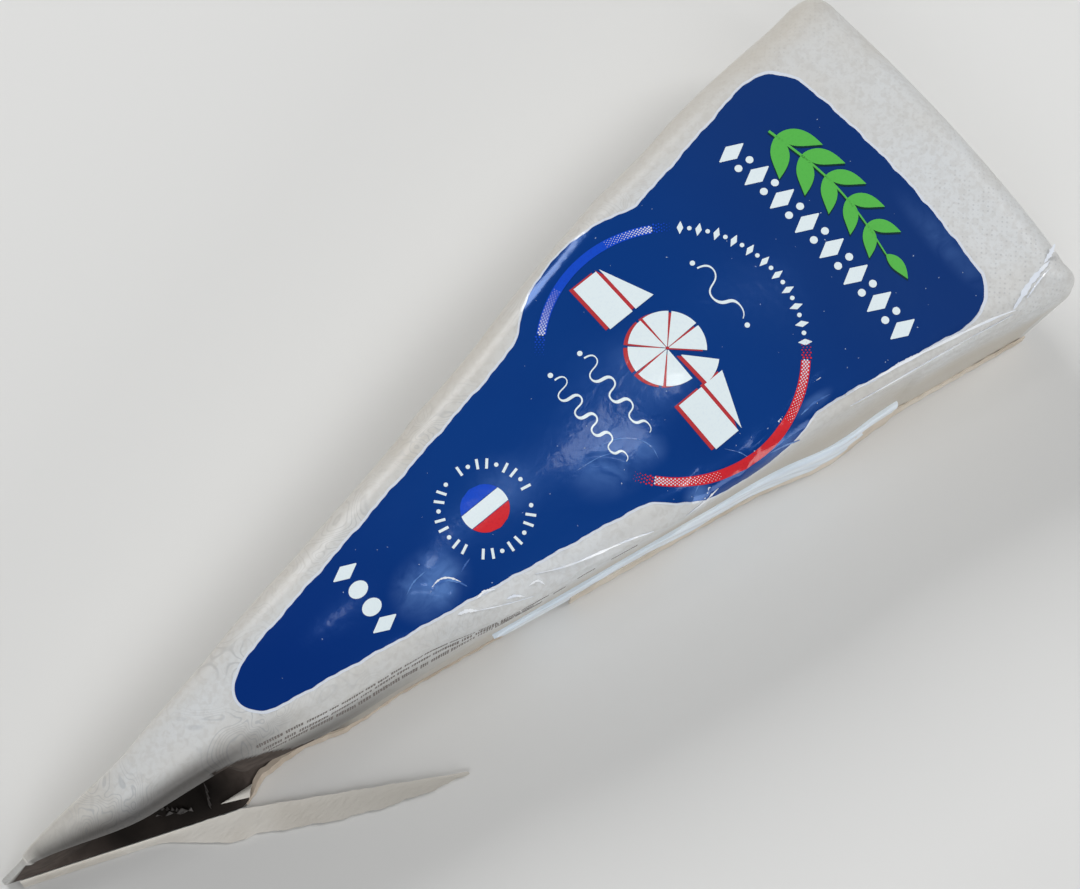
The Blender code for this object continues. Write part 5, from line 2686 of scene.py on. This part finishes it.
    def side_band(self, x: Array, z: Array, out: Array) -> tuple[Array, Array]:
        """Points at an offset outside the near side, and their flat places.

        Args:
            x: Places along the slice.
            z: Heights above the underside.
            out: Offset outside the side.

        Returns:
            The points, and their flat places.
        """
        shape = self.drape.shape
        high = shape.crest_height(x) - shape.near_shoulder(x)
        down = np.clip((high - z) / (high - shape.bottom_edge), 0.0, 1.0)
        y = shape.near_wall_y(x, down) - out
        grid = join(x, z)
        return join(x, y, z), grid

    def build_hem(self) -> bpy.types.Object:
        """Hem of the bottom sheet in front of the strip's foot, from a cut end to the rind.

        Returns:
            The piece.
        """
        x = np.linspace(self.hem_stations[0], self.hem_stations[-1], 340)[:, None]
        up = np.linspace(0.0, 1.0, 11)[None, :]
        high = np.interp(x, self.hem_stations, self.hem_heights)
        high = high + ripple(x, self.hem_top_waves)
        z = self.hem_foot + (high - self.hem_foot) * up
        inner, outer = self.hem_out[1], self.hem_out[0]
        out = outer + (inner - outer) * ease(*self.hem_leaves_x, x)
        out = out * (1.0 - 0.25 * up**3) + ripple(x, self.hem_side_waves)
        front, grid = self.side_band(x, z, out)
        back, _ = self.side_band(x, z, out - self.hem_thick)
        return self.drape.shells("bottom_hem", [(front, back, grid)], self.palette.hem, 40.0)

    def build_fold(self) -> bpy.types.Object:
        """Pale pointed fold of paper beside the lip's end: it widens from its tip in a line.

        Returns:
            The piece.
        """
        along = np.linspace(0.0, 1.0, 31)[:, None, None]
        across = np.linspace(-0.5, 0.5, 11)[None, :, None]
        run = np.subtract(self.fold_end, self.fold_tip)
        top = np.array(self.fold_tip) + along * run + along * across * np.array(self.fold_spread)
        top[..., 2] += self.fold_rise * np.sin(math.pi * (across[..., 0] + 0.5)) * along[..., 0]
        under = top - np.array((0.0, 0.0, self.paper))
        return self.drape.shells("lip_fold", [(top, under, top[..., :2])], self.palette.flap)


@dataclass
class PocketFilm:
    """Crumpled clear film that shows in the open pocket of the nose, drawn in dark greys as painted
    shade.
    """

    drape: Drape
    palette: Palette
    runs: tuple[tuple[Spot, Spot, float], ...] = (
        ((24.6, -2.2, 1.9), (30.2, -4.9, 2.6), 1.5),
        ((26.2, -1.5, 3.0), (28.6, -3.9, 2.4), 1.1),
        ((34.2, -3.6, 5.2), (32.6, -6.2, 2.6), 1.4),
    )
    thick: float = 0.12
    seed: int = 3

    def scrap(self, start: Spot, end: Spot,
              width: float, folds: float, phase: float) -> tuple[Array, Array]:
        """One strip of film, folded to and fro like a fan while it runs along.

        Args:
            start: Where the strip starts.
            end: Where it ends.
            width: Its width.
            folds: How many folds it has.
            phase: Where the folds begin.

        Returns:
            Its points, and the same points as flat places.
        """
        along = np.linspace(0.0, 1.0, 61)[:, None]
        across = np.linspace(-0.5, 0.5, 13)[None, :]
        path = np.array(start) + along[..., None] * np.subtract(end, start)
        zigzag = np.abs((along * folds + 0.7 * across + phase) % 1.0 - 0.5) * 2.0
        y = path[..., 1] + 0.45 * width * across + 0.5 * zigzag
        z = path[..., 2] + width * across + 0.8 * (zigzag - 0.5) * (0.4 + across)
        x = path[..., 0] + 0.6 * across * zigzag
        points = join(x, y, z)
        return points, points[..., :2]

    def build(self) -> bpy.types.Object:
        """Three scraps, in one piece.

        Returns:
            The piece.
        """
        pick = np.random.default_rng(self.seed)
        sheets = []
        for start, end, width in self.runs:
            top, flat = self.scrap(start, end, width, pick.uniform(3.0, 5.0), pick.uniform(0, 1))
            front = top[:, ::-1] + np.array((0.0, -self.thick, 0.0))
            sheets.append((front, top[:, ::-1], flat[:, ::-1]))
        return self.drape.shells("pocket_film", sheets, self.palette.pocket_film, 24.0)


def facing(place: Spot, aim: Spot) -> Euler:
    """Turn of a lamp or camera at a place that looks at its aim."""
    return (Vector(aim) - Vector(place)).to_track_quat("-Z", "Y").to_euler()


@dataclass
class Studio:
    """Plain pale floor, soft lights, and the camera where the photograph was taken."""

    floor_size: float = 3.0
    floor_tone: Tone = Tone(226, 226, 224)
    camera_place: Spot = (-0.04334, -0.06139, 0.33910)
    camera_aim: Spot = (0.01006, 0.00192, 0.030)
    lens: float = 70.72
    sensor: float = 36.0
    world_light: float = 0.1
    sky_colour: tuple[float, float, float, float] = (0.95, 0.97, 1.0, 1.0)
    floor_drop: float = 0.0002
    floor_mottle: Tone = Tone(222, 222, 221)
    lights_aim: Spot = (0.0, 0.0, 0.02)
    softboxes: tuple[tuple[str, Spot, float, float], ...] = (
        ("key", (0.8, -0.25, 0.9), 0.4, 5.0),
        ("near_side", (-0.6, -0.45, 0.9), 0.6, 2.9),
        ("near_low", (0.1, -1.0, 0.35), 0.5, 3.1),
        ("far_side", (0.0, 0.95, 0.75), 0.5, 8.4),
        ("lamp_nose", (0.031, 0.102, 0.6), 0.05, 0.06),
        ("lamp_rind", (0.133, 0.085, 0.6), 0.05, 0.06),
    )

    def build_floor(self) -> bpy.types.Object:
        """A wide plane just below the pack's underside, with a faint mottle.

        Returns:
            The floor.
        """
        half, z = self.floor_size / 2.0, -self.floor_drop
        mesh = bpy.data.meshes.new("floor")
        corners = [(-half, -half, z), (half, -half, z), (half, half, z), (-half, half, z)]
        mesh.from_pydata(corners, [], [(0, 1, 2, 3)])
        floor = bpy.data.objects.new("floor", mesh)
        bpy.context.scene.collection.objects.link(floor)
        recipe = Recipe("floor_pale", self.floor_tone, 0.8, 0.0, 0.3)
        soft = recipe.noise(recipe.body_place(), 3.0, 2.0)
        colour = recipe.blend(soft, self.floor_tone, self.floor_mottle)
        mesh.materials.append(recipe.finish(Base_Color=colour))
        return floor

    def add_softbox(self, name: str, place: Spot, size: float, power: float) -> None:
        """Adds a square area light that looks at the middle of the pack.

        Args:
            name: Name of the light.
            place: Where it stands, in metres.
            size: Length of its sides, in metres.
            power: Its power, in watts.
        """
        light = bpy.data.lights.new(name, "AREA")
        light.size = size
        light.energy = power
        lamp = bpy.data.objects.new(name, light)
        lamp.location = place
        lamp.rotation_euler = facing(place, self.lights_aim)
        bpy.context.scene.collection.objects.link(lamp)

    def build_lights(self) -> None:
        """A dim even sky, four softboxes well off the film's mirror angle, and two small lamps."""
        bpy.context.scene.view_settings.view_transform = "Standard"
        world = bpy.data.worlds.new("studio")
        world.use_nodes = True
        sky = world.node_tree.nodes["Background"]
        sky.inputs["Color"].default_value = self.sky_colour
        sky.inputs["Strength"].default_value = self.world_light
        bpy.context.scene.world = world
        for softbox in self.softboxes:
            self.add_softbox(*softbox)

    def build_camera(self) -> None:
        """The camera, looking down at the pack at 75 degrees with the nose at the lower left."""
        data = bpy.data.cameras.new("camera")
        data.lens = self.lens
        data.sensor_width = self.sensor
        data.sensor_fit = "HORIZONTAL"
        data.clip_start = 0.01
        camera = bpy.data.objects.new("camera", data)
        camera.location = self.camera_place
        camera.rotation_euler = facing(self.camera_place, self.camera_aim)
        bpy.context.scene.collection.objects.link(camera)
        bpy.context.scene.camera = camera


def settle(piece: bpy.types.Object, slot: Slot) -> None:
    """Lets a piece ride on the body, names its slot and reports it.

    Args:
        piece: The piece.
        slot: Its material slot.
    """
    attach(piece, BODY)
    log.info("%s: %d points, %s", piece.name, len(piece.data.vertices), slot.value)


def main() -> None:
    """Builds every sub-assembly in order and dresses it."""
    logging.basicConfig(level=logging.INFO, format="%(name)s %(message)s")
    shape, relief, outline = SliceShape(), Relief(), FieldOutline()
    drape = Drape(shape, relief, Place().shift(shape))
    palette = Palette()
    studio = Studio()
    studio.build_camera()
    studio.build_lights()
    studio.build_floor()
    wrap = WrapSheet(drape, outline, palette).build()
    settle(wrap, Slot.WRAP)
    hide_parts("wrapped_wedge")
    for piece in FieldPrint(drape, outline, palette).build():
        settle(piece, Slot.WRAP)
    side = SideMarks(drape, palette, outline)
    settle(side.build_rows(), Slot.WRAP)
    settle(side.build_flecks(), Slot.WRAP)
    for piece in FilmRidgeHighlights(drape, palette).build():
        settle(piece, Slot.WRAP)
    strip = ClosingStrip(drape, palette).build()
    settle(strip, Slot.CLOSING)
    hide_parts("closing_strip")
    bottom = BottomSheet(drape, palette)
    ear = bottom.build_ear()
    settle(ear, Slot.FLAP)
    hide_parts("loose_flap")
    settle(bottom.build_lip(), Slot.FLAP)
    settle(bottom.build_fold(), Slot.FLAP)
    settle(bottom.build_hem(), Slot.FLAP)
    settle(PocketFilm(drape, palette).build(), Slot.CLOSING)


if __name__ == "__main__":
    main()
